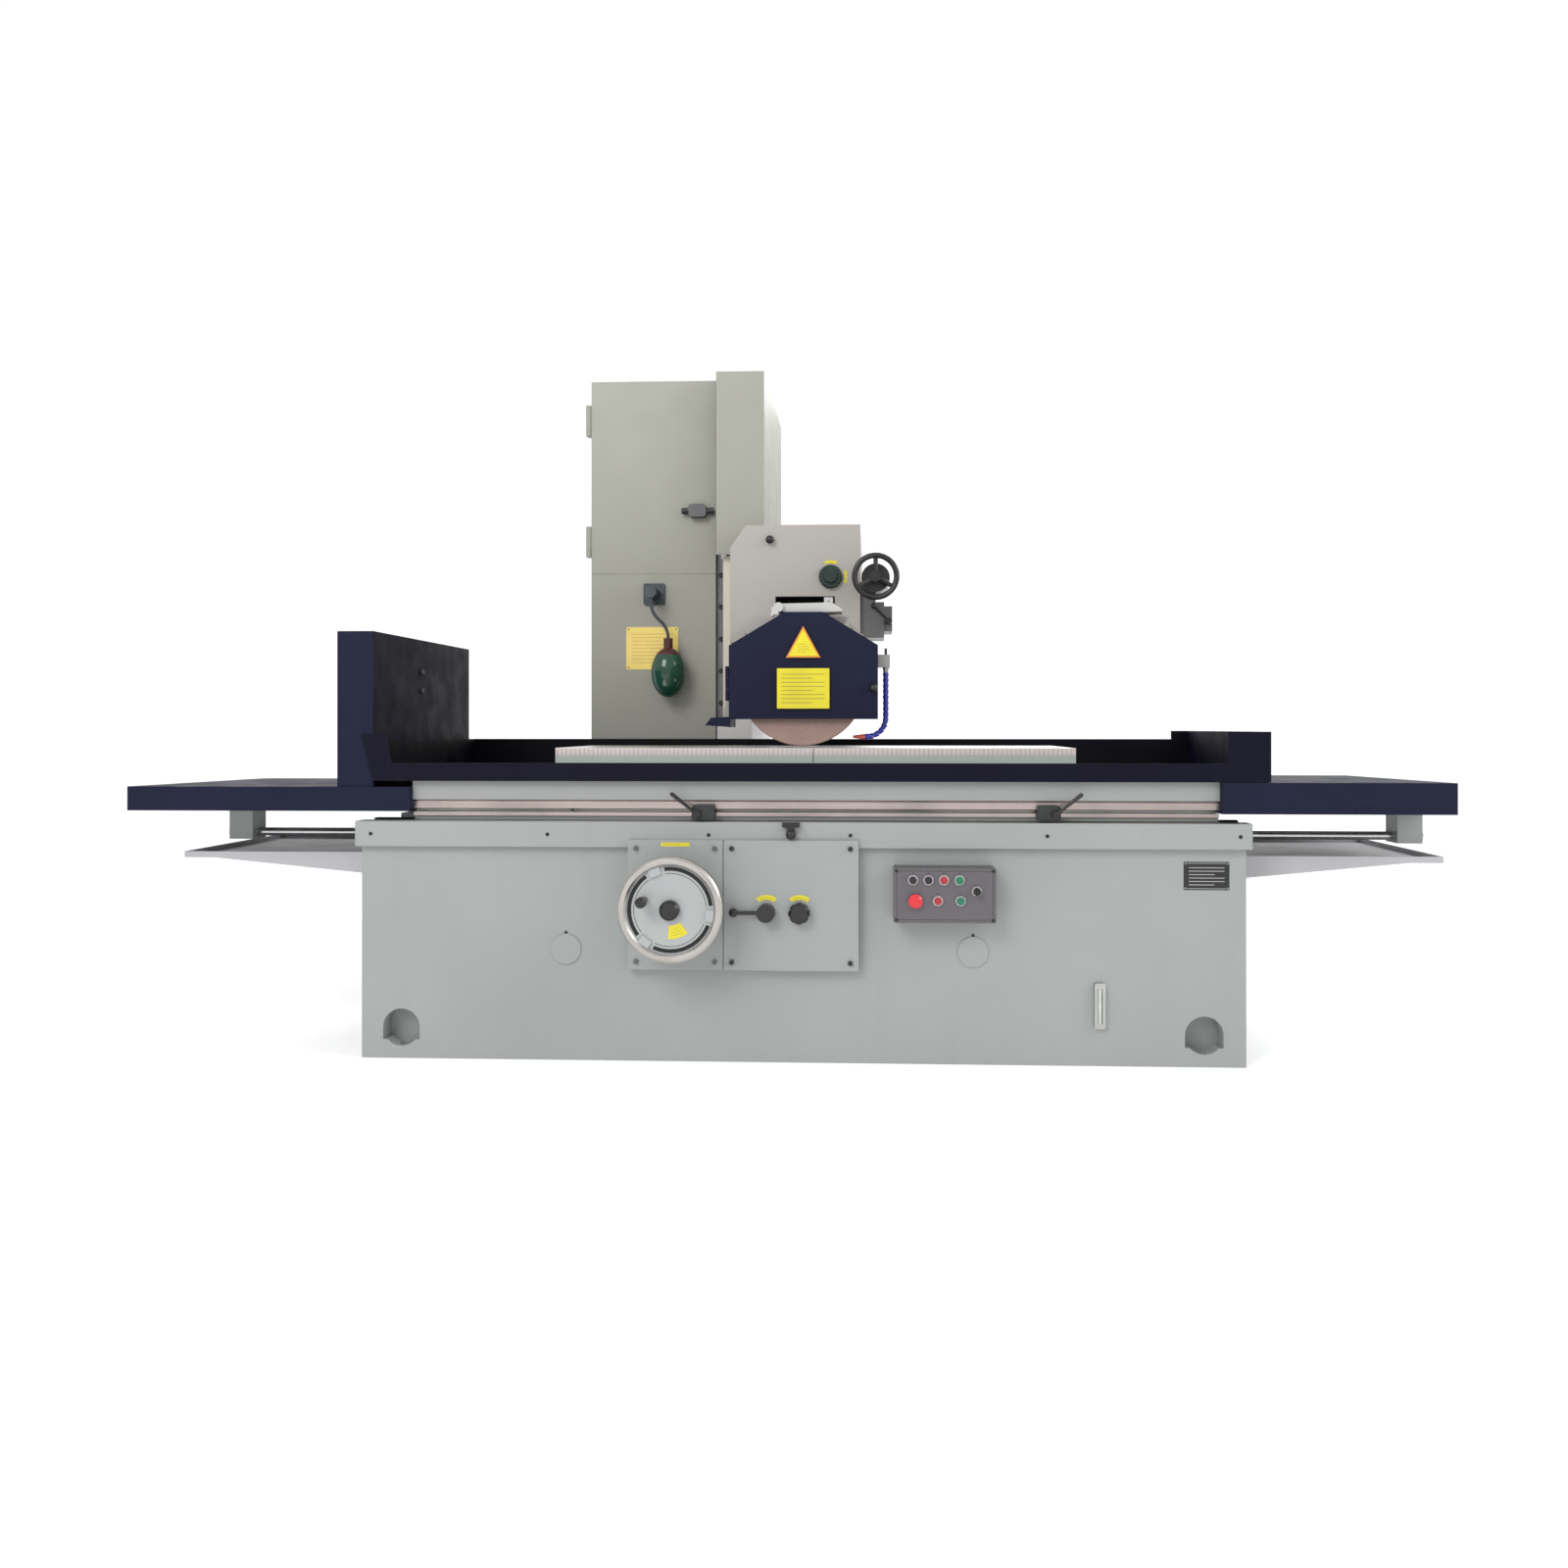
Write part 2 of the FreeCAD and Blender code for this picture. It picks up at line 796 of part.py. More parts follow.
handwheel_centre = (-handwheel_place, handwheel_height)
rim_front = panel_face - handwheel_reach
dial_front = rim_front + dial_inset
shaft_end = panel_face + plate_wall - seat_gap
crank_centre = (
    -handwheel_place + crank_place * cosine(crank_angle),
    handwheel_height + crank_place * sine(crank_angle),
)


def make_feed_handwheel():
    """The big table handwheel: bright rim, recessed dial, three tabs, a hub and a shaft into the bed."""
    inner = handwheel_radius - handwheel_rim
    edge = handwheel_rim / 4
    shape = [
        (0, dial_front - hub_length),
        (hub_radius - edge, dial_front - hub_length),
        (hub_radius, dial_front - hub_length + edge),
        (hub_radius, dial_front),
        (inner, dial_front),
        (inner, rim_front + edge),
        (inner + edge, rim_front),
        (handwheel_radius - edge, rim_front),
        (handwheel_radius, rim_front + edge),
        (handwheel_radius, rim_front + handwheel_depth - edge),
        (handwheel_radius - edge, rim_front + handwheel_depth),
        (inner, rim_front + handwheel_depth),
        (inner, dial_front + dial_thickness),
        (hub_radius, dial_front + dial_thickness),
        (handwheel_shaft_radius, dial_front + dial_thickness + hub_length),
        (handwheel_shaft_radius, shaft_end),
        (0, shaft_end),
    ]
    wheel = turned("handwheel_turned", "Y", handwheel_centre, shape)
    tabs = []
    for angle in (112, -8, -128):
        tab = document.addObject("Part::Box", "handwheel_tab")
        bind(tab, Length=tab_length, Width=dial_inset / 2, Height=tab_width)
        turn = math.radians(angle)
        tab.Placement.Rotation = FreeCAD.Rotation(FreeCAD.Vector(0, -1, 0), angle)
        locate(
            tab,
            -handwheel_place + (inner - tab_length) * math.cos(turn) + tab_width / 2 * math.sin(turn),
            dial_front - dial_inset / 2,
            handwheel_height + (inner - tab_length) * math.sin(turn) - tab_width / 2 * math.cos(turn),
        )
        tabs.append(tab)
    pin_bore = rod(
        "crank_pin_bore",
        "Y",
        crank_centre,
        crank_pin_radius + running_gap,
        (dial_front, dial_front + dial_thickness),
    )
    return sub_part("feed_handwheel", cut("handwheel", fused("handwheel_whole", wheel, *tabs), pin_bore))


def make_handwheel_crank():
    """The turning grip on the feed handwheel, with its pin."""
    near = dial_front - seat_gap
    far = near - crank_length
    waist = crank_radius * 0.7
    shape = [
        (0, far),
        (crank_radius * 0.6, far),
        (crank_radius, far + crank_radius / 2),
        (crank_radius, far + crank_length / 2),
        (waist, near),
        (crank_pin_radius, near),
        (crank_pin_radius, dial_front + dial_thickness),
        (0, dial_front + dial_thickness),
    ]
    return sub_part("handwheel_crank", turned("crank", "Y", crank_centre, shape))


lever_place = driving("lever_place", 87)
knob_place = driving("knob_place", -9)
lever_height = driving("lever_height", 444)
lever_hub_radius = driving("lever_hub_radius", 26)
lever_hub_length = driving("lever_hub_length", 34)
lever_arm = driving("lever_arm", 95)
lever_arm_radius = driving("lever_arm_radius", 6)
lever_ball_radius = driving("lever_ball_radius", 13)
control_stem_radius = driving("control_stem_radius", 10)
knob_radius = driving("knob_radius", 31)
knob_length = driving("knob_length", 36)

control_face = panel_face - seat_gap
control_stem = (control_face, panel_face + plate_wall - seat_gap)
lever_centre = (-lever_place, lever_height)
knob_centre = (-knob_place, lever_height)


def make_control_lever():
    """The speed lever: a hub on the panel, an arm to the left and a ball."""
    hub = rod(
        "lever_hub",
        "Y",
        lever_centre,
        lever_hub_radius,
        (control_face - lever_hub_length, control_face),
    )
    stem = rod("lever_stem", "Y", lever_centre, control_stem_radius, control_stem)
    arm_depth = control_face - lever_hub_length / 2
    arm = rod(
        "lever_arm",
        "X",
        (arm_depth, lever_height),
        lever_arm_radius,
        (-lever_place - lever_arm, -lever_place),
    )
    grip = ball("lever_ball", -lever_place - lever_arm, arm_depth, lever_height, lever_ball_radius)
    return sub_part("control_lever", fused("lever", hub, stem, arm, grip))


def make_control_knob():
    """The round throttle knob with grip flutes."""
    front = control_face - knob_length
    shape = [
        (0, front),
        (knob_radius * 0.75, front),
        (knob_radius, front + knob_length / 4),
        (knob_radius, front + knob_length * 0.7),
        (knob_radius * 0.7, control_face),
        (control_stem_radius, control_face),
        (control_stem_radius, control_stem[1]),
        (0, control_stem[1]),
    ]
    body = turned("knob_turned", "Y", knob_centre, shape)
    flutes = []
    for turn in range(8):
        angle = math.radians(45 * turn + 22.5)
        centre = (
            -knob_place + knob_radius * 1.1 * math.cos(angle),
            lever_height + knob_radius * 1.1 * math.sin(angle),
        )
        flutes.append(rod("knob_flute", "Y", centre, knob_radius / 5, (front, control_face)))
    return sub_part("control_knob", cut("knob", body, *flutes))


def panel_with_bores(label, left, right, bores):
    """A front panel with a running bore for each (centre, radius)."""
    plate = block(label + "_plate", (left, right), (panel_face, bed_front), (panel_bottom, panel_top))
    softened = rounded(label + "_rounded", plate, plate_wall / 2, runs_along("Y"))
    holes = [
        rod(label + "_bore", "Y", centre, radius + running_gap, (panel_face, bed_front))
        for centre, radius in bores
    ]
    return sub_part(label, cut(label + "_bored", softened, *holes))


reverser_place = driving("reverser_place", 16)
reverser_height = driving("reverser_height", 690)
reverser_radius = driving("reverser_radius", 12)
reverser_thickness = driving("reverser_thickness", 20)
reverser_head_width = driving("reverser_head_width", 50)
reverser_head_height = driving("reverser_head_height", 14)
reverser_arm = driving("reverser_arm", 21)
reverser_ball = driving("reverser_ball", 15)


def make_reversing_lever():
    """The table reversing lever: a T head at the top edge of the bed, hanging down to a ball."""
    back = bed_front - seat_gap
    front = back - reverser_thickness
    centre = (-reverser_place, reverser_height)
    boss = rod("reverser_boss", "Y", centre, reverser_radius, (front, back))
    head = block(
        "reverser_head",
        (-reverser_place - reverser_head_width / 2, -reverser_place + reverser_head_width / 2),
        (front, back),
        (reverser_height, reverser_height + reverser_head_height),
    )
    depth = back - reverser_ball
    low = reverser_height - reverser_arm
    grip = ball("reverser_ball", -reverser_place, depth, low, reverser_ball)
    stem = rod("reverser_stem", "Z", (-reverser_place, depth), reverser_radius / 2, (low, reverser_height))
    return sub_part("reversing_lever", fused("reverser", boss, head, stem, grip))


# ---------------------------------------------------------------- column, guide rails, door and lamp

door_bottom = column_top - door_height
door_back = column_front + plate_wall
hinge_across = -column_left - door_hinge_radius - seat_gap
hinge_depth = column_front
hinge_pin_radius = driving("hinge_pin_radius", 5)
hinge_margin = driving("hinge_margin", 90)


def hinge_levels():
    """The bottom of each of the two hinge barrels."""
    return (door_bottom + hinge_margin, column_top - hinge_margin - door_hinge_length)


def make_column_casting():
    """The hollow column with its cabinet recess, two screw lugs and the door hinge pins."""
    wall = bed_wall
    back = (door_back + seat_gap, column_back)
    upper = block("column_upper", (-column_left, -column_right), back, (door_bottom - seat_gap, column_top))
    lower = block(
        "column_lower",
        (-column_left, -column_right),
        (column_front, column_back),
        (column_base_height, door_bottom - seat_gap),
    )
    lugs = [
        block(
            "screw_lug",
            (-column_right, screw_across + lug_margin),
            (screw_place - 2 * lug_margin, screw_place + 2 * lug_margin),
            (low, low + lug_thickness),
        )
        for low in (column_base_height + lug_margin, column_top - lug_margin - lug_thickness)
    ]
    hinges = []
    for low in hinge_levels():
        top = low + door_hinge_length
        centre = (hinge_across, hinge_depth)
        hinges.append(rod("hinge_pin", "Z", centre, hinge_pin_radius, (low - plate_wall, top)))
        hinges.append(
            rod("hinge_knuckle", "Z", centre, door_hinge_radius, (low - 2 * plate_wall, low - seat_gap)),
        )
        hinges.append(
            block(
                "hinge_leaf",
                (hinge_across, -column_left + plate_wall),
                (door_back + seat_gap, door_back + 2 * plate_wall),
                (low - 2 * plate_wall, low - seat_gap),
            )
        )
        hinges.append(
            block(
                "hinge_strap",
                (hinge_across - door_hinge_radius, hinge_across),
                (hinge_depth, door_back + 2 * plate_wall),
                (low - 2 * plate_wall, low - seat_gap),
            )
        )
    outside = fused("column_outside", upper, lower, *lugs, *hinges)
    recess = block(
        "column_recess",
        (wall - column_left, -column_right - wall),
        (door_back + seat_gap, column_back - wall),
        (door_bottom + wall, column_top - wall),
    )
    hollow = block(
        "column_hollow",
        (wall - column_left, -column_right - wall),
        (column_front + wall, column_back - wall),
        (column_base_height, door_bottom - wall),
    )
    journals = rod(
        "screw_journals",
        "Z",
        (screw_across, screw_place),
        screw_journal_radius + running_gap,
        (column_base_height, column_top),
    )
    return sub_part("column_casting", cut("column", outside, recess, hollow, journals))


def make_guide_rails():
    """Two T-section rails bolted up the right face of the column."""
    rails = []
    half_head = rail_head_width / 2
    half_neck = rail_neck_width / 2
    for middle in (column_front + rail_inset, column_back - rail_inset):
        outline = [
            (-column_right, middle - half_neck),
            (-column_right + rail_neck_height, middle - half_neck),
            (-column_right + rail_neck_height, middle - half_head),
            (rail_face, middle - half_head),
            (rail_face, middle + half_head),
            (-column_right + rail_neck_height, middle + half_head),
            (-column_right + rail_neck_height, middle + half_neck),
            (-column_right, middle + half_neck),
        ]
        span = (column_base_height + rail_end_margin, column_top - rail_end_margin)
        rails.append(prism("guide_rail", "Z", outline, span))
    return sub_part("guide_rails", group("rails", *rails))


def make_cabinet_door():
    """The electrical cabinet door on the upper column front, with two hinge barrels."""
    skin = block(
        "door_skin", (-column_left, -column_right), (column_front, door_back), (door_bottom, column_top)
    )
    barrels = []
    bores = []
    for low in hinge_levels():
        span = (low, low + door_hinge_length)
        centre = (hinge_across, hinge_depth)
        barrels.append(rod("door_barrel", "Z", centre, door_hinge_radius, span))
        barrels.append(
            block("door_strap", (hinge_across, -column_left + plate_wall), (hinge_depth, door_back), span)
        )
        bores.append(rod("door_pin_bore", "Z", centre, hinge_pin_radius + running_gap, span))
    latch_bore = rod(
        "latch_bore", "Y", latch_centre, latch_stem_radius + running_gap, (column_front, door_back)
    )
    return sub_part("cabinet_door", cut("door", fused("door_whole", skin, *barrels), *bores, latch_bore))


latch_inset = driving("latch_inset", 66)
latch_height = driving("latch_height", 1794)
latch_stem_radius = driving("latch_stem_radius", 8)
latch_length = driving("latch_length", 120)
latch_body_length = driving("latch_body_length", 66)
latch_body_radius = driving("latch_body_radius", 24)
latch_reach = driving("latch_reach", 34)

latch_centre = (-column_right - latch_inset, latch_height)


def make_door_latch():
    """A lift handle: a rounded body with a slimmer bar through it, turning on a stem."""
    across, up = latch_centre
    back = column_front - seat_gap
    front = back - latch_reach
    body = block(
        "latch_body",
        (across - latch_body_length / 2, across + latch_body_length / 2),
        (front, back),
        (up - latch_body_radius, up + latch_body_radius),
    )
    bar = rod(
        "latch_bar",
        "X",
        ((front + back) / 2, up),
        latch_reach / 3,
        (across - latch_length / 2, across + latch_length / 2),
    )
    stem = rod("latch_stem", "Y", latch_centre, latch_stem_radius, (back, door_back - seat_gap))
    softened = rounded("latch_softened", body, latch_body_radius / 2, runs_along("Y"))
    return sub_part("door_latch", fused("latch", softened, bar, stem))


lamp_place = driving("lamp_place", 604)
lamp_height = driving("lamp_height", 1483)
lamp_base_size = driving("lamp_base_size", 80)
lamp_boss_radius = driving("lamp_boss_radius", 22)
lamp_reach = driving("lamp_reach", 68)
neck_radius = driving("neck_radius", 6)
neck_bend_radius = driving("neck_bend_radius", 86)
neck_bend_angle = driving("neck_bend_angle", 51)
neck_drop = driving("neck_drop", 16)
collar_radius = driving("collar_radius", 17)
collar_length = driving("collar_length", 34)
shade_radius = driving("shade_radius", 63)
shade_half_height = driving("shade_half_height", 93)
shade_wall = driving("shade_wall", 2.5)
shade_mouth = driving("shade_mouth", 34)

lamp_depth = column_front - lamp_reach
bend_start = (-lamp_place, lamp_height - lamp_boss_radius - neck_drop)
bend_middle = (
    bend_start[0] + neck_bend_radius * (1 - cosine(neck_bend_angle)),
    bend_start[1] - neck_bend_radius * sine(neck_bend_angle),
)
bend_end = (
    bend_middle[0] + neck_bend_radius * (1 - cosine(neck_bend_angle)),
    bend_middle[1] - neck_bend_radius * sine(neck_bend_angle),
)
shade_centre = bend_end[1] - collar_length - shade_half_height


def neck_bend(name, across, up, turn):
    """A round bend in the upright plane of the lamp: part of a ring about (across, up)."""
    ring = document.addObject("Part::Torus", name)
    bind(ring, Radius1=neck_bend_radius, Radius2=neck_radius, Angle3=neck_bend_angle)
    ring.Placement.Rotation = FreeCAD.Rotation(
        FreeCAD.Vector(math.cos(math.radians(turn)), 0, math.sin(math.radians(turn))),
        FreeCAD.Vector(-math.sin(math.radians(turn)), 0, math.cos(math.radians(turn))),
        FreeCAD.Vector(0, -1, 0),
        "ZXY",
    )
    locate(ring, across, lamp_depth, up)
    return ring


def make_lamp_arm():
    """The lamp's square foot, its round boss and the S-bent neck."""
    half = lamp_base_size / 2
    foot = block(
        "lamp_foot",
        (-lamp_place - half, -lamp_place + half),
        (column_front - plate_wall, column_front),
        (lamp_height - half, lamp_height + half),
    )
    boss = rod(
        "lamp_boss",
        "Y",
        (-lamp_place, lamp_height),
        lamp_boss_radius,
        (lamp_depth - lamp_boss_radius, column_front - plate_wall),
    )
    drop = rod("neck_drop", "Z", (-lamp_place, lamp_depth), neck_radius, (bend_start[1], lamp_height))
    upper = neck_bend("neck_upper", bend_start[0] + neck_bend_radius, bend_start[1], 180)
    lower = neck_bend("neck_lower", bend_end[0] - neck_bend_radius, bend_end[1], 0)
    softened = rounded("lamp_foot_softened", foot, plate_wall / 2, runs_along("Y"))
    return sub_part("lamp_arm", fused("lamp_neck", softened, boss, drop, upper, lower))


def make_lamp_shade():
    """The egg-shaped shade, hollow, with its mouth towards the column, and its collar."""
    across = bend_end[0]
    collar = rod(
        "shade_collar",
        "Z",
        (across, lamp_depth),
        collar_radius,
        (shade_centre + shade_half_height - shade_wall * 2, bend_end[1] - seat_gap),
    )
    outside = document.addObject("Part::Ellipsoid", "shade_outside")
    bind(outside, Radius1=shade_half_height, Radius2=shade_radius, Radius3=shade_radius)
    locate(outside, across, lamp_depth, shade_centre)
    inside = document.addObject("Part::Ellipsoid", "shade_inside")
    inner = shade_radius - shade_wall
    bind(inside, Radius1=shade_half_height - shade_wall, Radius2=inner, Radius3=inner)
    locate(inside, across, lamp_depth, shade_centre)
    mouth = block(
        "shade_mouth",
        (across - shade_radius, across + shade_radius),
        (lamp_depth + shade_mouth, lamp_depth + shade_radius),
        (shade_centre - shade_half_height, shade_centre + shade_half_height),
    )
    return sub_part("lamp_shade", fused("shade", cut("shade_shell", outside, inside, mouth), collar))


# ---------------------------------------------------------------- vertical slide

def make_slide_casting():
    """The vertical slide: a carriage on the rails and the arm that carries the wheelhead."""
    carriage = block(
        "carriage",
        (rail_face + running_gap, -carriage_right),
        (carriage_front, column_back),
        (carriage_bottom, carriage_top),
    )
    outline = [
        (-arm_left, arm_bottom),
        (arm_right, arm_bottom),
        (arm_right, arm_top),
        (-arm_left + arm_bevel_across, arm_top),
        (-arm_left, arm_top - arm_bevel_down),
    ]
    arm = prism("arm", "Y", outline, (arm_front, arm_front + arm_length))
    passage = prism(
        "dovetail_passage",
        "Y",
        [
            (-dovetail_left, arm_bottom),
            (dovetail_right, arm_bottom),
            (dovetail_right + dovetail_spread, arm_bottom + dovetail_rise),
            (-dovetail_left - dovetail_spread, arm_bottom + dovetail_rise),
        ],
        (arm_front, column_back),
    )
    slot = block(
        "arm_slot",
        (-slot_left, slot_right),
        (arm_front, arm_front + slot_depth),
        (slot_bottom, slot_bottom + slot_height),
    )
    nut = rod(
        "nut_bore", "Z", (screw_across, screw_place), screw_radius + running_gap, (carriage_bottom, arm_top)
    )
    dial_bore = rod(
        "dial_bore", "Y", dial_centre, control_stem_radius + running_gap, (arm_front, arm_front + bed_wall)
    )
    knob_bore = rod(
        "pull_knob_bore",
        "Y",
        pull_knob_centre,
        pull_stem_radius + running_gap,
        (arm_front, arm_front + bed_wall),
    )
    whole = fused("slide_outside", carriage, arm)
    return sub_part("slide_casting", cut("slide", whole, passage, slot, nut, dial_bore, knob_bore))


def make_gib_keepers():
    """L-section keepers behind the outer lips of the two rails."""
    keepers = []
    thick = rail_neck_height
    for face in (-1, 1):
        middle = column_front + rail_inset if face < 0 else column_back - rail_inset
        lip = middle + face * (rail_neck_width / 2 + running_gap)
        heel = middle + face * (rail_head_width / 2 + running_gap)
        outer = heel + face * thick
        outline = [
            (-column_right + seat_gap, lip),
            (-column_right + rail_neck_height - running_gap, lip),
            (-column_right + rail_neck_height - running_gap, heel),
            (rail_face + running_gap, heel),
            (rail_face + running_gap, outer),
            (-column_right + seat_gap, outer),
        ]
        keepers.append(prism("keeper", "Z", outline, (carriage_bottom, carriage_top)))
    return sub_part("gib_keepers", group("keepers", *keepers))


upper_cover_left = driving("upper_cover_left", 358)
upper_cover_right = driving("upper_cover_right", 180)
upper_cover_front = driving("upper_cover_front", 466)
upper_cover_top = driving("upper_cover_top", 2295)
cover_inset_back = driving("cover_inset_back", 20)


def way_cover(name, right, front, low, top, roof):
    """A folded sheet cover, open on its left side, round the rails and the screw."""
    left = -upper_cover_left
    back = column_back - cover_inset_back
    skin = block(name + "_skin", (left, right), (front, back), (low, top))
    ceiling = top - sheet_metal if roof else top
    inside = block(
        name + "_inside",
        (left, right - sheet_metal),
        (front + sheet_metal, back - sheet_metal),
        (low, ceiling),
    )
    return cut(name + "_folded", skin, inside)


def make_upper_way_cover():
    folded = way_cover("upper_cover", -upper_cover_right, upper_cover_front, arm_top, upper_cover_top, True)
    skirt = block(
        "upper_cover_skirt",
        (-upper_cover_left, -arm_left - seat_gap),
        (upper_cover_front, upper_cover_front + sheet_metal),
        (carriage_top, arm_top),
    )
    corner = prism(
        "upper_cover_corner",
        "Y",
        [
            (-arm_left - seat_gap, arm_top - arm_bevel_down + seat_gap),
            (-arm_left + arm_bevel_across - seat_gap * 2, arm_top),
            (-arm_left - seat_gap, arm_top),
        ],
        (upper_cover_front, upper_cover_front + sheet_metal),
    )
    return sub_part("upper_way_cover", fused("upper_cover", folded, skirt, corner))


def make_lower_way_cover():
    low = column_base_height + cover_inset_back
    folded = way_cover("lower_cover", -carriage_right, carriage_front, low, carriage_bottom, False)
    return sub_part("lower_way_cover", folded)


screw_collar = driving("screw_collar", 10)


def make_elevating_screw():
    """The vertical screw, with a journal in each lug."""
    lower_lug = column_base_height + lug_margin
    upper_lug = column_top - lug_margin - lug_thickness
    thread_low = lower_lug + lug_thickness + seat_gap
    thread_top = upper_lug - seat_gap
    shape = [
        (0, lower_lug),
        (screw_journal_radius, lower_lug),
        (screw_journal_radius, thread_low),
        (screw_radius, thread_low),
        (screw_radius, thread_top),
        (screw_journal_radius, thread_top),
        (screw_journal_radius, upper_lug + lug_thickness),
        (0, upper_lug + lug_thickness),
    ]
    return sub_part("elevating_screw", turned("screw", "Z", (screw_across, screw_place), shape))


dial_across = driving("dial_across", 70)
dial_height = driving("dial_height", 1520)
dial_radius = driving("dial_radius", 42)
dial_length = driving("dial_length", 38)
pull_knob_across = driving("pull_knob_across", 148)
pull_knob_height = driving("pull_knob_height", 1653)
pull_knob_radius = driving("pull_knob_radius", 15)
pull_stem_radius = driving("pull_stem_radius", 6)
pull_travel = driving("pull_travel", 12)

dial_centre = (dial_across, dial_height)
pull_knob_centre = (-pull_knob_across, pull_knob_height)


def make_crossfeed_dial():
    """The stepped cross-feed dial on the front of the slide."""
    back = arm_front - seat_gap
    front = back - dial_length
    shape = [
        (0, front),
        (dial_radius * 0.55, front),
        (dial_radius * 0.62, front + dial_length / 2),
        (dial_radius * 0.9, front + dial_length / 2),
        (dial_radius, front + dial_length * 0.65),
        (dial_radius, back),
        (control_stem_radius, back),
        (control_stem_radius, arm_front + bed_wall - seat_gap),
        (0, arm_front + bed_wall - seat_gap),
    ]
    return sub_part("crossfeed_dial", turned("dial", "Y", dial_centre, shape))


def make_pull_knob():
    """The small pull knob at the top left of the slide."""
    back = arm_front - seat_gap
    collar = rod(
        "pull_collar",
        "Y",
        pull_knob_centre,
        pull_stem_radius,
        (back - pull_knob_radius, arm_front + bed_wall - pull_travel),
    )
    grip = ball("pull_ball", -pull_knob_across, back - pull_knob_radius, pull_knob_height, pull_knob_radius)
    return sub_part("pull_knob", fused("pull", collar, grip))


# ---------------------------------------------------------------- cross-feed drive on the right of the slide

gearbox_width = driving("gearbox_width", 86)
gearbox_bottom = driving("gearbox_bottom", 1303)
gearbox_height = driving("gearbox_height", 128)
gearbox_front = driving("gearbox_front", 380)
gearbox_depth = driving("gearbox_depth", 180)
side_block_left = driving("side_block_left", 246)
side_block_width = driving("side_block_width", 45)
side_block_bottom = driving("side_block_bottom", 1327)
side_block_height = driving("side_block_height", 90)
cross_wheel_across = driving("cross_wheel_across", 231)
cross_wheel_height = driving("cross_wheel_height", 1505)
cross_wheel_front = driving("cross_wheel_front", 222)
cross_wheel_radius = driving("cross_wheel_radius", 83)
cross_rim_radius = driving("cross_rim_radius", 10)
cross_hub_radius = driving("cross_hub_radius", 20)
cross_hub_length = driving("cross_hub_length", 36)
cross_shaft_radius = driving("cross_shaft_radius", 11)
spoke_radius = driving("spoke_radius", 8)
gear_case_radius = driving("gear_case_radius", 50)
gear_case_front = driving("gear_case_front", 270)
gear_case_length = driving("gear_case_length", 150)
side_lever_across = driving("side_lever_across", 279)
side_lever_height = driving("side_lever_height", 1361)
side_lever_length = driving("side_lever_length", 76)
side_lever_angle = driving("side_lever_angle", 135)
side_lever_radius = driving("side_lever_radius", 5)
side_ball_radius = driving("side_ball_radius", 11)
side_boss_radius = driving("side_boss_radius", 11)

cross_centre = (cross_wheel_across, cross_wheel_height)
side_lever_centre = (side_lever_across, side_lever_height)
side_block_face = gearbox_front + plate_wall


def make_crossfeed_gearbox():
    """The cross-feed gearbox: a main case, a side block and the round case behind the handwheel."""
    right = arm_right + gearbox_width
    main = block(
        "gearbox_main",
        (arm_right, right),
        (gearbox_front, gearbox_front + gearbox_depth),
        (gearbox_bottom, gearbox_bottom + gearbox_height),
    )
    side = block(
        "gearbox_side",
        (side_block_left, side_block_left + side_block_width),
        (side_block_face, gearbox_front + gearbox_depth - plate_wall),
        (side_block_bottom, side_block_bottom + side_block_height),
    )
    bridge = block(
        "gearbox_bridge",
        (arm_right, cross_wheel_across),
        (gearbox_front, gear_case_front + gear_case_length),
        (gearbox_bottom + gearbox_height, cross_wheel_height),
    )
    case = rod(
        "gear_case",
        "Y",
        cross_centre,
        gear_case_radius,
        (gear_case_front, gear_case_front + gear_case_length),
    )
    shaft_bore = rod(
        "cross_shaft_bore",
        "Y",
        cross_centre,
        cross_shaft_radius + running_gap,
        (gear_case_front, gear_case_front + gear_case_length / 2),
    )
    lever_bore = rod(
        "side_lever_bore",
        "Y",
        side_lever_centre,
        side_lever_radius + running_gap,
        (side_block_face, side_block_face + bed_wall),
    )
    return sub_part(
        "crossfeed_gearbox", cut(
            "gearbox",
            fused("gearbox_whole", main, side, bridge, case),
            shaft_bore,
            lever_bore,
        )
    )


def make_cross_handwheel():
    """The three-spoked cross-feed handwheel with its grip and shaft."""
    across, up = cross_centre
    middle = cross_wheel_front + cross_rim_radius
    rim = document.addObject("Part::Torus", "cross_rim")
    bind(rim, Radius1=cross_wheel_radius - cross_rim_radius, Radius2=cross_rim_radius)
    rim.Placement.Rotation = AXIS_TURN["Y"]
    locate(rim, across, middle, up)
    hub = rod(
        "cross_hub",
        "Y",
        cross_centre,
        cross_hub_radius,
        (middle - cross_rim_radius, middle + cross_hub_length),
    )
    shaft = rod(
        "cross_shaft",
        "Y",
        cross_centre,
        cross_shaft_radius,
        (middle, gear_case_front + gear_case_length / 2 - seat_gap),
    )
    spokes = []
    for angle in (90, 210, 330):
        spoke = document.addObject("Part::Cylinder", "cross_spoke")
        bind(spoke, Radius=spoke_radius, Height=cross_wheel_radius - cross_rim_radius)
        turn = math.radians(angle)
        spoke.Placement.Rotation = FreeCAD.Rotation(
            FreeCAD.Vector(0, 0, 1), FreeCAD.Vector(math.cos(turn), 0, math.sin(turn))
        )
        locate(spoke, across, middle + cross_rim_radius / 2, up)
        spokes.append(spoke)
    return sub_part("cross_handwheel", fused("cross_wheel", rim, hub, shaft, *spokes))


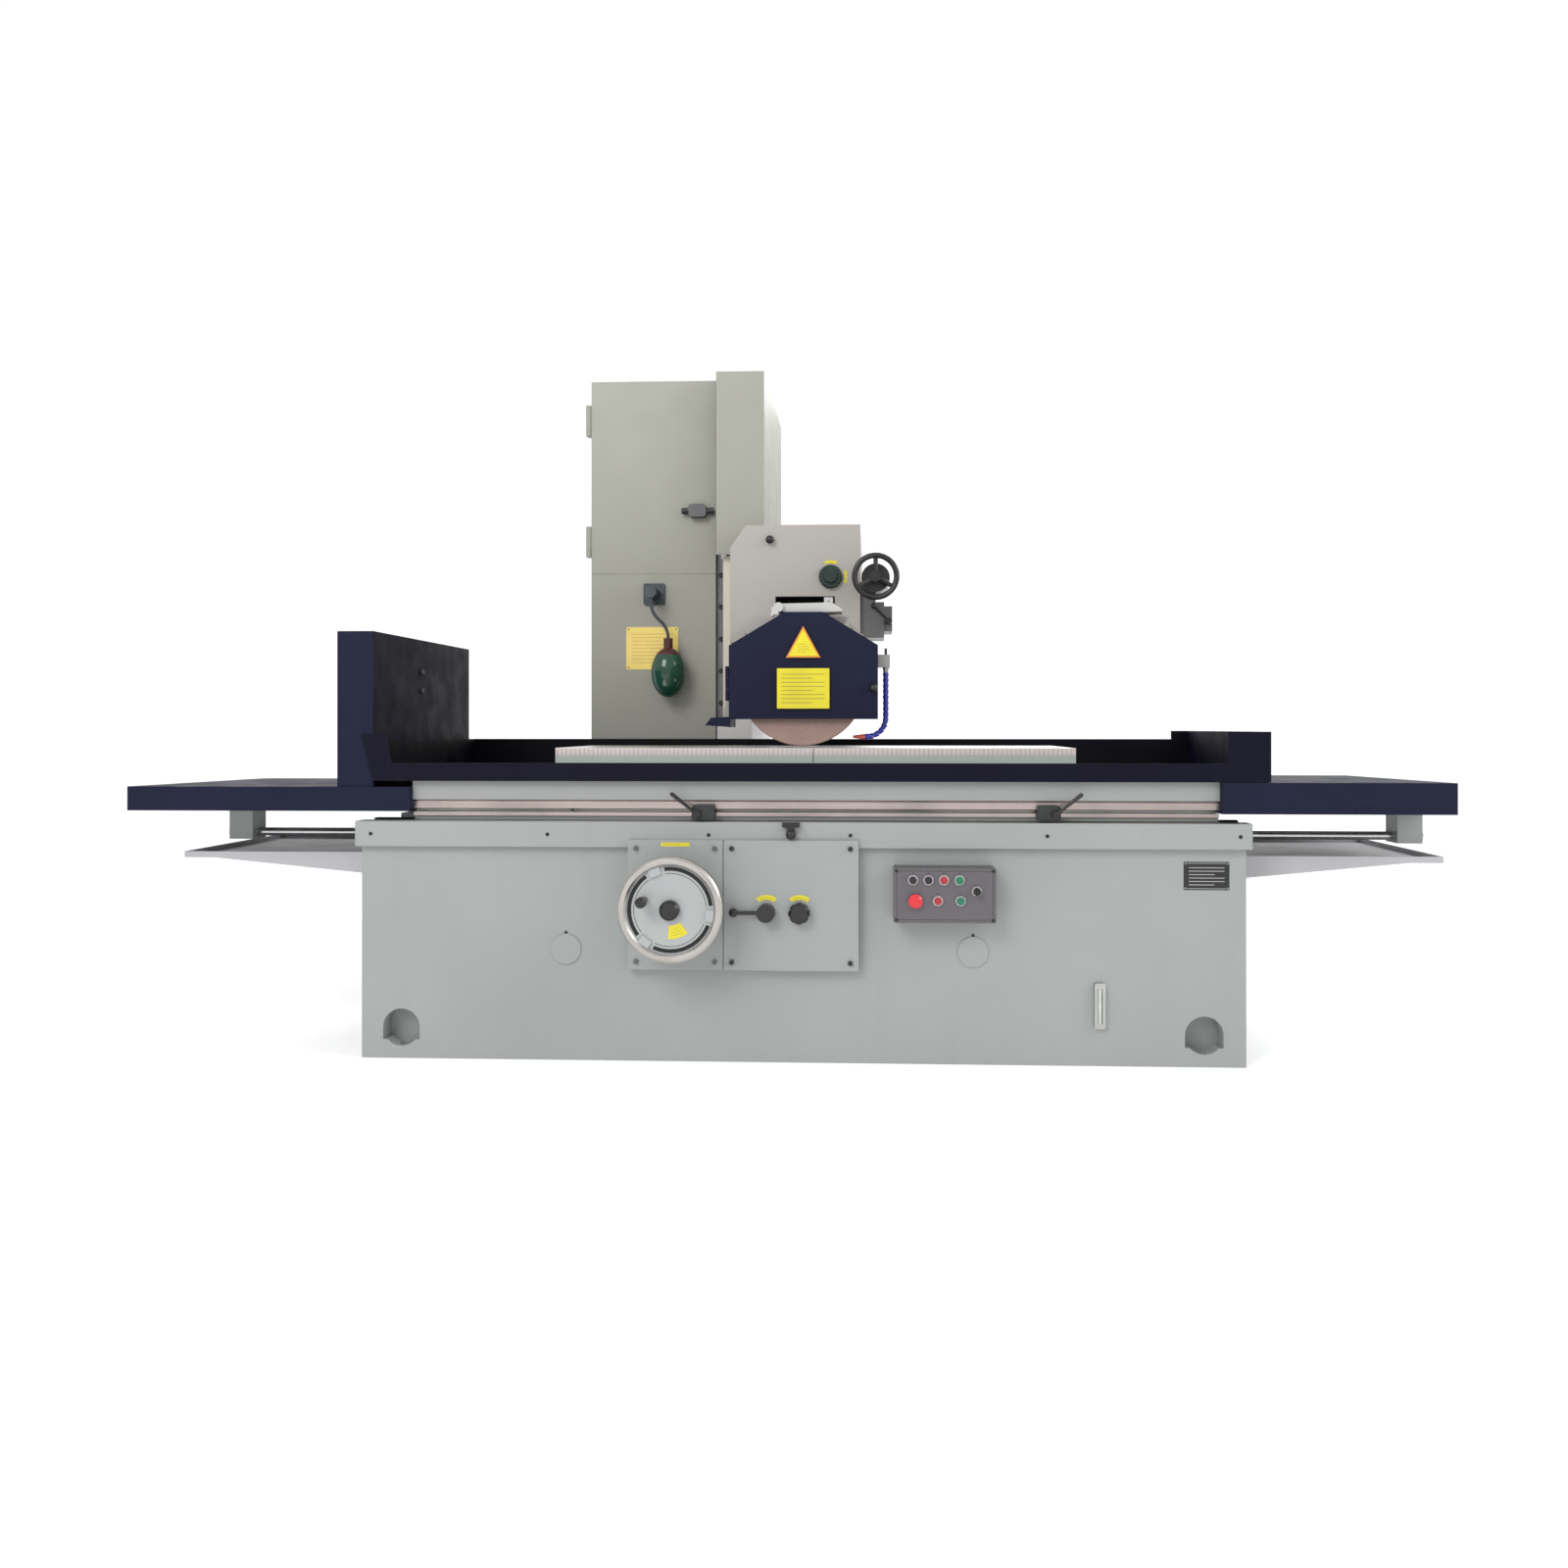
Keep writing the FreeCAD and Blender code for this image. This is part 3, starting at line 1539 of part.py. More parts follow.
def make_crossfeed_lever():
    """The feed direction lever: a slim arm up to a ball, on a pivot in the side block."""
    across, up = side_lever_centre
    plane = gearbox_front - side_ball_radius * 2
    arm = document.addObject("Part::Cylinder", "side_arm")
    bind(arm, Radius=side_lever_radius, Height=side_lever_length)
    turn = math.radians(side_lever_angle.value)
    arm.Placement.Rotation = FreeCAD.Rotation(
        FreeCAD.Vector(0, 0, 1), FreeCAD.Vector(math.cos(turn), 0, math.sin(turn))
    )
    locate(arm, across, plane, up)
    grip = ball(
        "side_ball",
        across + side_lever_length * cosine(side_lever_angle),
        plane,
        up + side_lever_length * sine(side_lever_angle),
        side_ball_radius,
    )
    boss = rod(
        "side_boss",
        "Y",
        side_lever_centre,
        side_boss_radius,
        (plane - side_boss_radius, side_block_face - seat_gap),
    )
    stem = rod(
        "side_stem",
        "Y",
        side_lever_centre,
        side_lever_radius,
        (side_block_face - seat_gap, side_block_face + bed_wall - seat_gap),
    )
    return sub_part("crossfeed_lever", fused("side_lever", arm, grip, boss, stem))


# ---------------------------------------------------------------- wheelhead, guard, spindle and coolant

head_front = guard_depth - guard_front
head_back = head_front + head_length
front_bearing_end = driving("front_bearing_length", 240) + head_front
rear_bearing_start = head_back - driving("rear_bearing_length", 160)
spindle_centre = (0, wheel_axis)


def make_wheelhead_housing():
    """The wheelhead: a dovetail ram on top of a body bored for the spindle and its motor."""
    top = arm_bottom + dovetail_rise - table_gap
    spread = dovetail_spread * (dovetail_rise - table_gap) / dovetail_rise
    low = wheel_axis - head_drop
    body_top = arm_bottom - table_gap
    outline = [
        (head_chamfer - head_half_width, low),
        (head_half_width - head_chamfer, low),
        (head_half_width, low + head_chamfer),
        (head_half_width, body_top),
        (dovetail_right - running_gap, body_top),
        (dovetail_right - running_gap, arm_bottom),
        (dovetail_right - running_gap + spread, top),
        (running_gap - dovetail_left - spread, top),
        (running_gap - dovetail_left, arm_bottom),
        (running_gap - dovetail_left, body_top),
        (-head_half_width, body_top),
        (-head_half_width, low + head_chamfer),
    ]
    body = prism("head_body", "Y", outline, (head_front, head_back))
    front_bore = rod(
        "front_bearing", "Y", spindle_centre, spindle_radius + running_gap, (head_front, front_bearing_end)
    )
    motor_bore = rod(
        "motor_bore",
        "Y",
        spindle_centre,
        stator_radius,
        (front_bearing_end, rear_bearing_start),
    )
    rear_bore = rod(
        "rear_bearing", "Y", spindle_centre, spindle_radius + running_gap, (rear_bearing_start, head_back)
    )
    return sub_part("wheelhead_housing", cut("head", body, front_bore, motor_bore, rear_bore))


def make_spindle_motor():
    """The built-in motor's stator ring."""
    span = (front_bearing_end + bed_wall, rear_bearing_start - bed_wall)
    stator = tube("stator", "Y", spindle_centre, (rotor_radius + rotor_air_gap, stator_radius), span)
    return sub_part("spindle_motor", stator)


flange_radius = driving("flange_radius", 92)
inner_flange = driving("inner_flange", 12)
outer_flange = driving("outer_flange", 8)
spindle_nut_radius = driving("spindle_nut_radius", 30)


def make_spindle():
    """The spindle with its rotor, wheel flanges and nose nut."""
    wheel_back = wheel_width - wheel_front
    nose = -wheel_front - outer_flange
    tip = sheet_metal + panel_gap - guard_front
    shape = [
        (0, tip),
        (spindle_nut_radius, tip),
        (spindle_nut_radius, nose),
        (flange_radius, nose),
        (flange_radius, -wheel_front),
        (wheel_bore_radius, -wheel_front),
        (wheel_bore_radius, wheel_back),
        (flange_radius, wheel_back),
        (flange_radius, wheel_back + inner_flange),
        (spindle_radius, wheel_back + inner_flange),
        (spindle_radius, front_bearing_end + bed_wall),
        (rotor_radius, front_bearing_end + bed_wall),
        (rotor_radius, rear_bearing_start - bed_wall),
        (spindle_radius, rear_bearing_start - bed_wall),
        (spindle_radius, head_back),
        (0, head_back),
    ]
    return sub_part("spindle", turned("spindle_turned", "Y", spindle_centre, shape))


def make_grinding_wheel():
    """The abrasive wheel, a thick disc with a plain bore."""
    edge = 3
    span = (-wheel_front, wheel_width - wheel_front)
    shape = [
        (wheel_bore_radius, span[0]),
        (wheel_radius - edge, span[0]),
        (wheel_radius, span[0] + edge),
        (wheel_radius, span[1] - edge),
        (wheel_radius - edge, span[1]),
        (wheel_bore_radius, span[1]),
    ]
    return sub_part("grinding_wheel", turned("wheel_turned", "Y", spindle_centre, shape))


def guard_outline(inset, drop):
    """The six-sided guard outline, set in by an inset and lowered at its open bottom."""
    low = wheel_axis - guard_bottom - drop
    return [
        (inset - guard_left, low),
        (guard_right - inset, low),
        (guard_right - inset, wheel_axis + guard_shoulder - inset * 0.55),
        (guard_top_right - inset * 0.3, wheel_axis + guard_top - inset),
        (inset * 0.3 - guard_top_left, wheel_axis + guard_top - inset),
        (inset - guard_left, wheel_axis + guard_shoulder - inset * 0.55),
    ]


deflector_reach = driving("deflector_reach", 75)
deflector_height = driving("deflector_height", 33)
deflector_rise = driving("deflector_rise", 7)


guard_hinge_radius = driving("guard_hinge_radius", 5)
guard_hinge_length = driving("guard_hinge_length", 36)
guard_hinge_drop = driving("guard_hinge_drop", 60)

guard_hinge_centre = (-guard_left - guard_hinge_radius - seat_gap * 2, -guard_front)
guard_hinge_low = wheel_axis - guard_hinge_drop
guard_hinge_spans = [
    (
        guard_hinge_low + guard_hinge_length * place + seat_gap,
        guard_hinge_low + guard_hinge_length * (place + 1),
    )
    for place in range(3)
]


def guard_knuckle(span, leaf_depth):
    """One knuckle of the guard hinge and the leaf that joins it to the sheet beside it."""
    barrel = rod("guard_knuckle", "Z", guard_hinge_centre, guard_hinge_radius, span)
    leaf = block("guard_leaf", (guard_hinge_centre[0], sheet_metal - guard_left), leaf_depth, span)
    return [barrel, leaf]


def make_guard_shell():
    """The wheel guard: a back plate and a rim, open below and in front, with the spark deflector."""
    door_side = -guard_front + sheet_metal + seat_gap
    back = head_front
    shell = prism("guard_outside", "Y", guard_outline(0, 0), (door_side, back))
    inside = prism(
        "guard_inside",
        "Y",
        guard_outline(sheet_metal, sheet_metal),
        (door_side, back - sheet_metal),
    )
    hole = rod("guard_hole", "Y", spindle_centre, spindle_radius + sheet_metal, (back - sheet_metal, back))
    low = wheel_axis - guard_bottom
    deflector = prism(
        "deflector",
        "Y",
        [
            (-guard_left - deflector_reach, low - deflector_height * 0.6),
            (-guard_left - deflector_reach * 0.75, low + deflector_rise - deflector_height * 0.1),
            (sheet_metal - guard_left, low + deflector_rise),
            (sheet_metal - guard_left, low + deflector_rise - deflector_height),
        ],
        (door_side, back),
    )
    knuckles = []
    for low, high in (guard_hinge_spans[0], guard_hinge_spans[2]):
        knuckles += guard_knuckle((low, high), (door_side, door_side + sheet_metal))
    whole = fused("guard_whole", cut("guard_rim", shell, inside, hole), deflector, *knuckles)
    return sub_part("guard_shell", whole)


guard_knob_radius = driving("guard_knob_radius", 13)
guard_knob_drop = driving("guard_knob_drop", 21)
guard_knob_inset = driving("guard_knob_inset", 14)


def make_guard_door():
    """The hinged guard front with its black knob."""
    face = -guard_front
    plate = prism("guard_plate", "Y", guard_outline(0, 0), (face, face + sheet_metal))
    across = guard_right - guard_knob_inset
    up = wheel_axis - guard_knob_drop
    stem = rod("guard_knob_stem", "Y", (across, up), guard_knob_radius / 2, (face - guard_knob_radius, face))
    grip = ball("guard_knob", across, face - guard_knob_radius * 1.2, up, guard_knob_radius)
    knuckle = guard_knuckle(guard_hinge_spans[1], (face, face + sheet_metal))
    return sub_part("guard_door", fused("guard_front_door", plate, stem, grip, *knuckle))


dresser_left = driving("dresser_left", 73)
dresser_right = driving("dresser_right", 124)
dresser_front = driving("dresser_front", 190)
dresser_depth = driving("dresser_depth", 110)
dresser_height = driving("dresser_height", 31)
dresser_boss_radius = driving("dresser_boss_radius", 15)


def make_dresser():
    """The wheel dresser: a carrier on the guard top, a round feed boss and a small lever."""
    low = wheel_axis + guard_top
    top = low + dresser_height
    depth = (-dresser_front, dresser_depth - dresser_front)
    carrier = prism(
        "dresser_carrier",
        "Y",
        [
            (-guard_top_left, low),
            (guard_top_right, low),
            (dresser_right, low + dresser_height * 0.1),
            (dresser_right, low + dresser_height * 0.35),
            (dresser_right - dresser_height, top),
            (-dresser_left, top - dresser_height * 0.1),
            (-dresser_left, low + dresser_height * 0.35),
        ],
        depth,
    )
    boss_centre = (-dresser_left, low + dresser_height / 2)
    boss = rod(
        "dresser_boss", "Y", boss_centre, dresser_boss_radius, (depth[0] - dresser_boss_radius, depth[1])
    )
    lever = rod(
        "dresser_lever",
        "Y",
        (-dresser_left - dresser_boss_radius * 1.3, low - dresser_height * 0.25),
        bezel_rim,
        (depth[0] - dresser_boss_radius, depth[0] + dresser_boss_radius),
    )
    link = block(
        "dresser_link",
        (-dresser_left - dresser_boss_radius * 1.3 - bezel_rim / 2, -dresser_left),
        (depth[0] - dresser_boss_radius, depth[0]),
        (low - dresser_height * 0.25, low + dresser_height / 2),
    )
    return sub_part("dresser", fused("dresser_whole", carrier, boss, lever, link))


fitting_depth = driving("fitting_depth", 130)
fitting_width = driving("fitting_width", 38)
fitting_height = driving("fitting_height", 40)
fitting_rise = driving("fitting_rise", 47)
hose_across = driving("hose_across", 262)
hose_radius = driving("hose_radius", 10)
hose_neck_radius = driving("hose_neck_radius", 7)
bead_pitch = driving("bead_pitch", 18)
hose_bend_radius = driving("hose_bend_radius", 58)
hose_end_height = driving("hose_end_height", 950)
nozzle_length = driving("nozzle_length", 46)
nozzle_tip_radius = driving("nozzle_tip_radius", 4)
STRAIGHT_BEADS = 9
BEND_BEADS = 5


def hose_bead(place, direction):
    """One hose joint: a barrel with a slimmer neck, starting at a place and pointing along a direction."""
    bead = document.addObject("Part::Cone", "hose_bead")
    bind(bead, Radius1=hose_radius, Radius2=hose_neck_radius, Height=bead_pitch + seat_gap)
    bead.Placement.Rotation = FreeCAD.Rotation(FreeCAD.Vector(0, 0, 1), direction)
    locate(bead, place[0], -fitting_depth, place[1])
    return bead


def make_coolant_hose():
    """The jointed coolant hose: a fitting on the guard, a straight run, a bend and the nozzle."""
    fitting_low = wheel_axis + fitting_rise
    fitting = block(
        "hose_fitting",
        (guard_right, guard_right + fitting_width),
        (-fitting_depth - fitting_width / 2, -fitting_depth + fitting_width / 2),
        (fitting_low, fitting_low + fitting_height),
    )
    bend_top = hose_end_height + hose_bend_radius
    step = (fitting_low - bend_top) / STRAIGHT_BEADS
    beads = []
    for number in range(STRAIGHT_BEADS):
        bead = hose_bead((hose_across, fitting_low - step * number), FreeCAD.Vector(0, 0, -1))
        bind(bead, Height=step + seat_gap)
        beads.append(bead)
    middle = (hose_across - hose_bend_radius, bend_top)
    for number in range(BEND_BEADS):
        turn = math.radians(90 * number / BEND_BEADS)
        place = (
            middle[0] + hose_bend_radius * math.cos(turn),
            middle[1] - hose_bend_radius * math.sin(turn),
        )
        heading = FreeCAD.Vector(-math.sin(turn + 0.15), 0, -math.cos(turn + 0.15))
        beads.append(hose_bead(place, heading))
    nozzle = taper(
        "hose_nozzle",
        "X",
        (-fitting_depth, hose_end_height),
        (nozzle_tip_radius, hose_radius),
        (middle[0] - nozzle_length, middle[0]),
    )
    socket = ball("hose_socket", middle[0], -fitting_depth, hose_end_height, hose_radius)
    stem_bore = rod(
        "valve_bore",
        "Z",
        (hose_across, -fitting_depth),
        valve_stem_radius + running_gap,
        (fitting_low + fitting_height / 2, fitting_low + fitting_height),
    )
    bored = cut("hose_fitting_bored", fitting, stem_bore)
    return sub_part("coolant_hose", fused("hose", bored, *beads, socket, nozzle))


valve_stem_radius = driving("valve_stem_radius", 4)
valve_handle_length = driving("valve_handle_length", 26)
valve_handle_height = driving("valve_handle_height", 18)


def make_coolant_valve():
    """The tap of the coolant fitting: a stem and an upright thumb handle."""
    top = wheel_axis + fitting_rise + fitting_height
    centre = (hose_across, -fitting_depth)
    stem = rod(
        "valve_stem",
        "Z",
        centre,
        valve_stem_radius,
        (top - fitting_height / 2, top + valve_handle_height),
    )
    handle = block(
        "valve_handle",
        (hose_across - valve_stem_radius, hose_across + valve_stem_radius),
        (-fitting_depth - valve_handle_length / 2, -fitting_depth + valve_handle_length / 2),
        (top + seat_gap * 4, top + seat_gap * 4 + valve_handle_height),
    )
    return sub_part("coolant_valve", fused("valve", stem, handle))


# ---------------------------------------------------------------- table, chucks, trough and covers

strip_height = driving("strip_height", 12)
strip_recess = driving("strip_recess", 10)
lower_rail_height = driving("lower_rail_height", 11)
slot_mouth = driving("slot_mouth", 8)
slot_mouth_depth = driving("slot_mouth_depth", 14)
slot_cavity_height = driving("slot_cavity_height", 16)
slot_cavity_depth = driving("slot_cavity_depth", 12)
upper_rail_height = driving("upper_rail_height", 26)
upper_rail_recess = driving("upper_rail_recess", 6)
lower_rail_recess = driving("lower_rail_recess", 8)
table_hollow_half = driving("table_hollow_half", 260)
table_hollow_roof = driving("table_hollow_roof", 45)
vee_relief = driving("vee_relief", 6)

table_front = -table_width / 2
slot_low = table_bottom + strip_height + lower_rail_height
slot_top = slot_low + slot_mouth
slot_middle = (slot_low + slot_top) / 2
table_span = (table_left, table_right)


def make_table_casting():
    """The long table: dog slot and rails on its front, V way and flat way beneath."""
    mouth_end = table_front + lower_rail_recess + slot_mouth_depth
    cavity_end = mouth_end + slot_cavity_depth
    rail_top = slot_top + upper_rail_height
    edge = upper_rail_recess / 2
    roof = table_top - table_hollow_roof
    vee_top = vee_half_width + table_gap - running_gap * 2
    vee_depth = vee_half_width - vee_relief
    outline = [
        (table_front + lower_rail_recess + strip_recess, table_bottom),
        (table_front + lower_rail_recess + strip_recess, table_bottom + strip_height),
        (table_front + lower_rail_recess, table_bottom + strip_height),
        (table_front + lower_rail_recess, slot_low),
        (mouth_end, slot_low),
        (mouth_end, slot_middle - slot_cavity_height / 2),
        (cavity_end, slot_middle - slot_cavity_height / 2),
        (cavity_end, slot_middle + slot_cavity_height / 2),
        (mouth_end, slot_middle + slot_cavity_height / 2),
        (mouth_end, slot_top),
        (table_front + upper_rail_recess + edge, slot_top),
        (table_front + upper_rail_recess, slot_top + edge),
        (table_front + upper_rail_recess, rail_top - edge),
        (table_front + upper_rail_recess + edge, rail_top),
        (table_front, rail_top + edge),
        (table_front, table_top),
        (-table_front, table_top),
        (-table_front, table_bottom),
        (flat_way_place + flat_way_width / 2 - panel_gap, table_bottom),
        (flat_way_place + flat_way_width / 2 - panel_gap, bed_height - flat_way_depth + running_gap),
        (flat_way_place - flat_way_width / 2 + panel_gap, bed_height - flat_way_depth + running_gap),
        (flat_way_place - flat_way_width / 2 + panel_gap, table_bottom),
        (table_hollow_half, table_bottom),
        (table_hollow_half, roof),
        (-table_hollow_half, roof),
        (-table_hollow_half, table_bottom),
        (vee_top - vee_place, table_bottom),
        (vee_half_width - vee_depth - running_gap - vee_place, bed_height - vee_depth),
        (running_gap + vee_depth - vee_half_width - vee_place, bed_height - vee_depth),
        (-vee_top - vee_place, table_bottom),
    ]
    return sub_part("table_casting", prism("table", "X", outline, table_span))


left_cover_margin = driving("left_cover_margin", 207)
right_cover_margin = driving("right_cover_margin", 12)
left_cover_lift = driving("left_cover_lift", 26)
left_cover_height = driving("left_cover_height", 72)
right_cover_lift = driving("right_cover_lift", 24)
right_cover_height = driving("right_cover_height", 91)
cover_front_edge = driving("cover_front_edge", 430)
cover_back_edge = driving("cover_back_edge", 370)
cover_slope = driving("cover_slope", 10)
cover_wall = driving("cover_wall", 6)


def way_tray(name, low, high, bottom, top):
    """A folded cover: a roof that falls towards the back, with a skirt on all four sides."""
    front = -cover_front_edge
    outline = [(front, bottom), (cover_back_edge, bottom), (cover_back_edge, top - cover_slope), (front, top)]
    skin = prism(name + "_skin", "X", outline, (low, high))
    inside = prism(
        name + "_inside",
        "X",
        [
            (front + cover_wall, bottom),
            (cover_back_edge - cover_wall, bottom),
            (cover_back_edge - cover_wall, top - cover_slope - cover_wall),
            (front + cover_wall, top - cover_wall),
        ],
        (low + cover_wall, high - cover_wall),
    )
    return cut(name, skin, inside)


def bracket_span(side):
    inner = table_offset + side * bracket_place
    outer = inner + side * bracket_thickness
    return (inner, outer) if side > 0 else (outer, inner)


def make_way_covers():
    """The two long covers beyond the table ends."""
    left = way_tray(
        "left_cover",
        bracket_span(-1)[0] - left_cover_margin,
        table_left,
        table_bottom + left_cover_lift,
        table_bottom + left_cover_lift + left_cover_height,
    )
    right = way_tray(
        "right_cover",
        table_right,
        bracket_span(1)[1] + right_cover_margin,
        table_bottom + right_cover_lift,
        table_bottom + right_cover_lift + right_cover_height,
    )
    return sub_part("way_covers", group("covers", left, right))


beam_width = driving("beam_width", 90)


def make_rod_brackets():
    """A beam under each cover with a plate at its end that holds the piston rod."""
    brackets = []
    for side in (-1, 1):
        span = bracket_span(side)
        lift = right_cover_lift if side > 0 else left_cover_lift
        height = right_cover_height if side > 0 else left_cover_height
        under = table_bottom + lift + height - cover_slope - cover_wall
        table_end = table_right if side > 0 else table_left
        beam_span = (table_end + cover_wall, span[0]) if side > 0 else (span[1], table_end - cover_wall)
        plate = block(
            "bracket_plate",
            span,
            (-rod_place - bracket_width / 2, -rod_place + bracket_width / 2),
            (rod_height - bracket_drop, under - sheet_metal),
        )
        beam = block(
            "bracket_beam",
            beam_span,
            (-rod_place - beam_width / 2, -rod_place + beam_width / 2),
            (under - sheet_metal - beam_width / 3, under - sheet_metal),
        )
        bore = rod("bracket_bore", "X", rod_centre, rod_radius, span)
        brackets.append(cut("bracket", fused("bracket_whole", plate, beam), bore))
    return sub_part("rod_brackets", group("brackets", *brackets))


def make_piston_rod():
    """The rod through both brackets with its piston and a dome nut on each end."""
    left = bracket_span(-1)[0]
    right = bracket_span(1)[1]
    bar = rod("rod_bar", "X", rod_centre, rod_radius, (left - rod_nut_length, right + rod_nut_length))
    half = piston_length / 2
    piston = rod("rod_piston", "X", rod_centre, piston_radius, (table_offset - half, table_offset + half))
    nuts = [
        rod("rod_nut", "X", rod_centre, rod_nut_radius, (left - rod_nut_length, left)),
        rod("rod_nut", "X", rod_centre, rod_nut_radius, (right, right + rod_nut_length)),
    ]
    return sub_part("piston_rod", fused("rod_whole", bar, piston, *nuts))


trough_left = driving("trough_left", 1300)
trough_right = driving("trough_right", 1327)
trough_front = driving("trough_front", 430)
trough_back = driving("trough_back", 470)
trough_front_height = driving("trough_front_height", 54)
trough_back_height = driving("trough_back_height", 116)
trough_end_height = driving("trough_end_height", 146)
trough_wing_height = driving("trough_wing_height", 138)
trough_wing_top = driving("trough_wing_top", 75)
trough_wing_lean = driving("trough_wing_lean", 35)
trough_wing_base = driving("trough_wing_base", 57)
trough_return = driving("trough_return", 122)
trough_back_return = driving("trough_back_return", 60)

trough_low = table_top
trough_span = (table_offset - trough_left, table_offset + trough_right)


def make_splash_trough():
    """The coolant trough round the chucks: floor, four walls, the left wing and the raised right end."""
    wall = sheet_metal
    left, right = trough_span
    front = (-trough_front, wall - trough_front)
    back = (trough_back - wall, trough_back)
    floor = block("trough_floor", trough_span, (-trough_front, trough_back), (trough_low, trough_low + wall))
    table_hole = block(
        "trough_chuck_hole",
        (table_offset - chuck_length - chuck_split, table_offset + chuck_length + chuck_split),
        (-chuck_width / 2 - chuck_split, chuck_width / 2 + chuck_split),
        (trough_low, trough_low + wall),
    )
    walls = [
        block("trough_front_wall", trough_span, front, (trough_low, trough_low + trough_front_height)),
        block("trough_back_wall", trough_span, back, (trough_low, trough_low + trough_back_height)),
        block(
            "trough_left_wall",
            (left, left + wall),
            (-trough_front, trough_back),
            (trough_low, trough_low + trough_back_height),
        ),
        block(
            "trough_right_wall",
            (right - wall, right),
            (-trough_front, trough_back),
            (trough_low, trough_low + trough_end_height),
        ),
        block(
            "trough_return",
            (right - trough_return, right),
            front,
            (trough_low, trough_low + trough_end_height),
        ),
        block(
            "trough_back_return",
            (right - trough_back_return, right),
            back,
            (trough_low, trough_low + trough_end_height),
        ),
    ]
    wing = prism(
        "trough_wing",
        "Y",
        [
            (left, trough_low),
            (left + trough_wing_base, trough_low),
            (left + trough_wing_base, trough_low + trough_front_height),
            (left - trough_wing_lean + trough_wing_top, trough_low + trough_wing_height),
            (left - trough_wing_lean, trough_low + trough_wing_height),
        ],
        front,
    )
    return sub_part(
        "splash_trough",
        fused("trough", cut("trough_open_floor", floor, table_hole), *walls, wing),
    )


guard_wall_width = driving("guard_wall_width", 109)
guard_wall_height = driving("guard_wall_height", 463)
guard_wall_back = driving("guard_wall_back", 405)
guard_wall_gap = driving("guard_wall_gap", 1)


def make_end_splash_guard():
    """The tall folded guard at the left end, a box open below that stands on the left cover."""
    right = trough_span[0]
    left = right - guard_wall_width
    low = table_bottom + left_cover_lift + left_cover_height
    front = guard_wall_gap + sheet_metal - trough_front
    skin = block("end_guard_skin", (left, right), (front, guard_wall_back), (low, low + guard_wall_height))
    inside = block(
        "end_guard_inside",
        (left + sheet_metal, right - sheet_metal),
        (front + sheet_metal, guard_wall_back - sheet_metal),
        (low, low + guard_wall_height - sheet_metal),
    )
    return sub_part("end_splash_guard", cut("end_guard", skin, inside))




def make_chucks():
    """Two magnetic chucks end to end: a base on the table and a laminated face on each."""
    bases = []
    faces = []
    for side in (-1, 1):
        near = table_offset + side * chuck_split / 2
        far = near + side * chuck_length
        low, high = (near, far) if side > 0 else (far, near)
        depth = (-chuck_width / 2, chuck_width / 2)
        base_top = table_top + chuck_base_height
        bases.append(block("chuck_base", (low, high), depth, (table_top, base_top)))
        faces.append(block("chuck_face", (low, high), depth, (base_top, base_top + chuck_face_height)))
    sub_part("chuck_bases", group("bases", *bases))
    sub_part("chuck_faces", group("faces", *faces))


dog_height = driving("dog_height", 46)
dog_width = driving("dog_width", 66)
dog_lift = driving("dog_lift", 1)
dog_thickness = driving("dog_thickness", 22)
dog_gap = driving("dog_gap", 0.5)
left_dog_place = driving("left_dog_place", 277)
right_dog_place = driving("right_dog_place", 732)
dog_lever_length = driving("dog_lever_length", 93)
dog_lever_angle = driving("dog_lever_angle", 38)
dog_lever_radius = driving("dog_lever_radius", 6)
dog_pivot_radius = driving("dog_pivot_radius", 10)
dog_stem_radius = driving("dog_stem_radius", 5)


def make_dog(label, place, side):
    """A table dog: a face block with a T foot in the table's slot."""
    half = dog_width / 2
    back = table_front - dog_gap
    front = back - dog_thickness
    low = table_bottom + dog_lift
    face = block(label + "_face", (place - half, place + half), (front, back), (low, low + dog_height))
    neck = block(
        label + "_neck",
        (place - half, place + half),
        (back, table_front + lower_rail_recess + slot_mouth_depth + slot_cavity_depth - dog_gap),
        (slot_low + dog_gap, slot_top - dog_gap),
    )
    foot = block(
        label + "_foot",
        (place - half, place + half),
        (
            table_front + lower_rail_recess + slot_mouth_depth + dog_gap,
            table_front + lower_rail_recess + slot_mouth_depth + slot_cavity_depth - dog_gap,
        ),
        (slot_middle - slot_cavity_height / 2 + dog_gap, slot_middle + slot_cavity_height / 2 - dog_gap),
    )
    pivot = rod(
        label + "_pivot_bore",
        "Y",
        dog_pivot(place, side),
        dog_stem_radius + running_gap,
        (front, back),
    )
    whole = fused(
        label + "_whole",
        rounded(label + "_softened", face, dog_width / 8, runs_along("Y")),
        neck,
        foot,
    )
    return sub_part(label, cut(label + "_bored", whole, pivot))


def dog_pivot(place, side):
    """The lever pivot, towards the dog's outer side."""
    return (place + side * dog_width / 4, table_bottom + dog_lift + dog_height * 0.45)


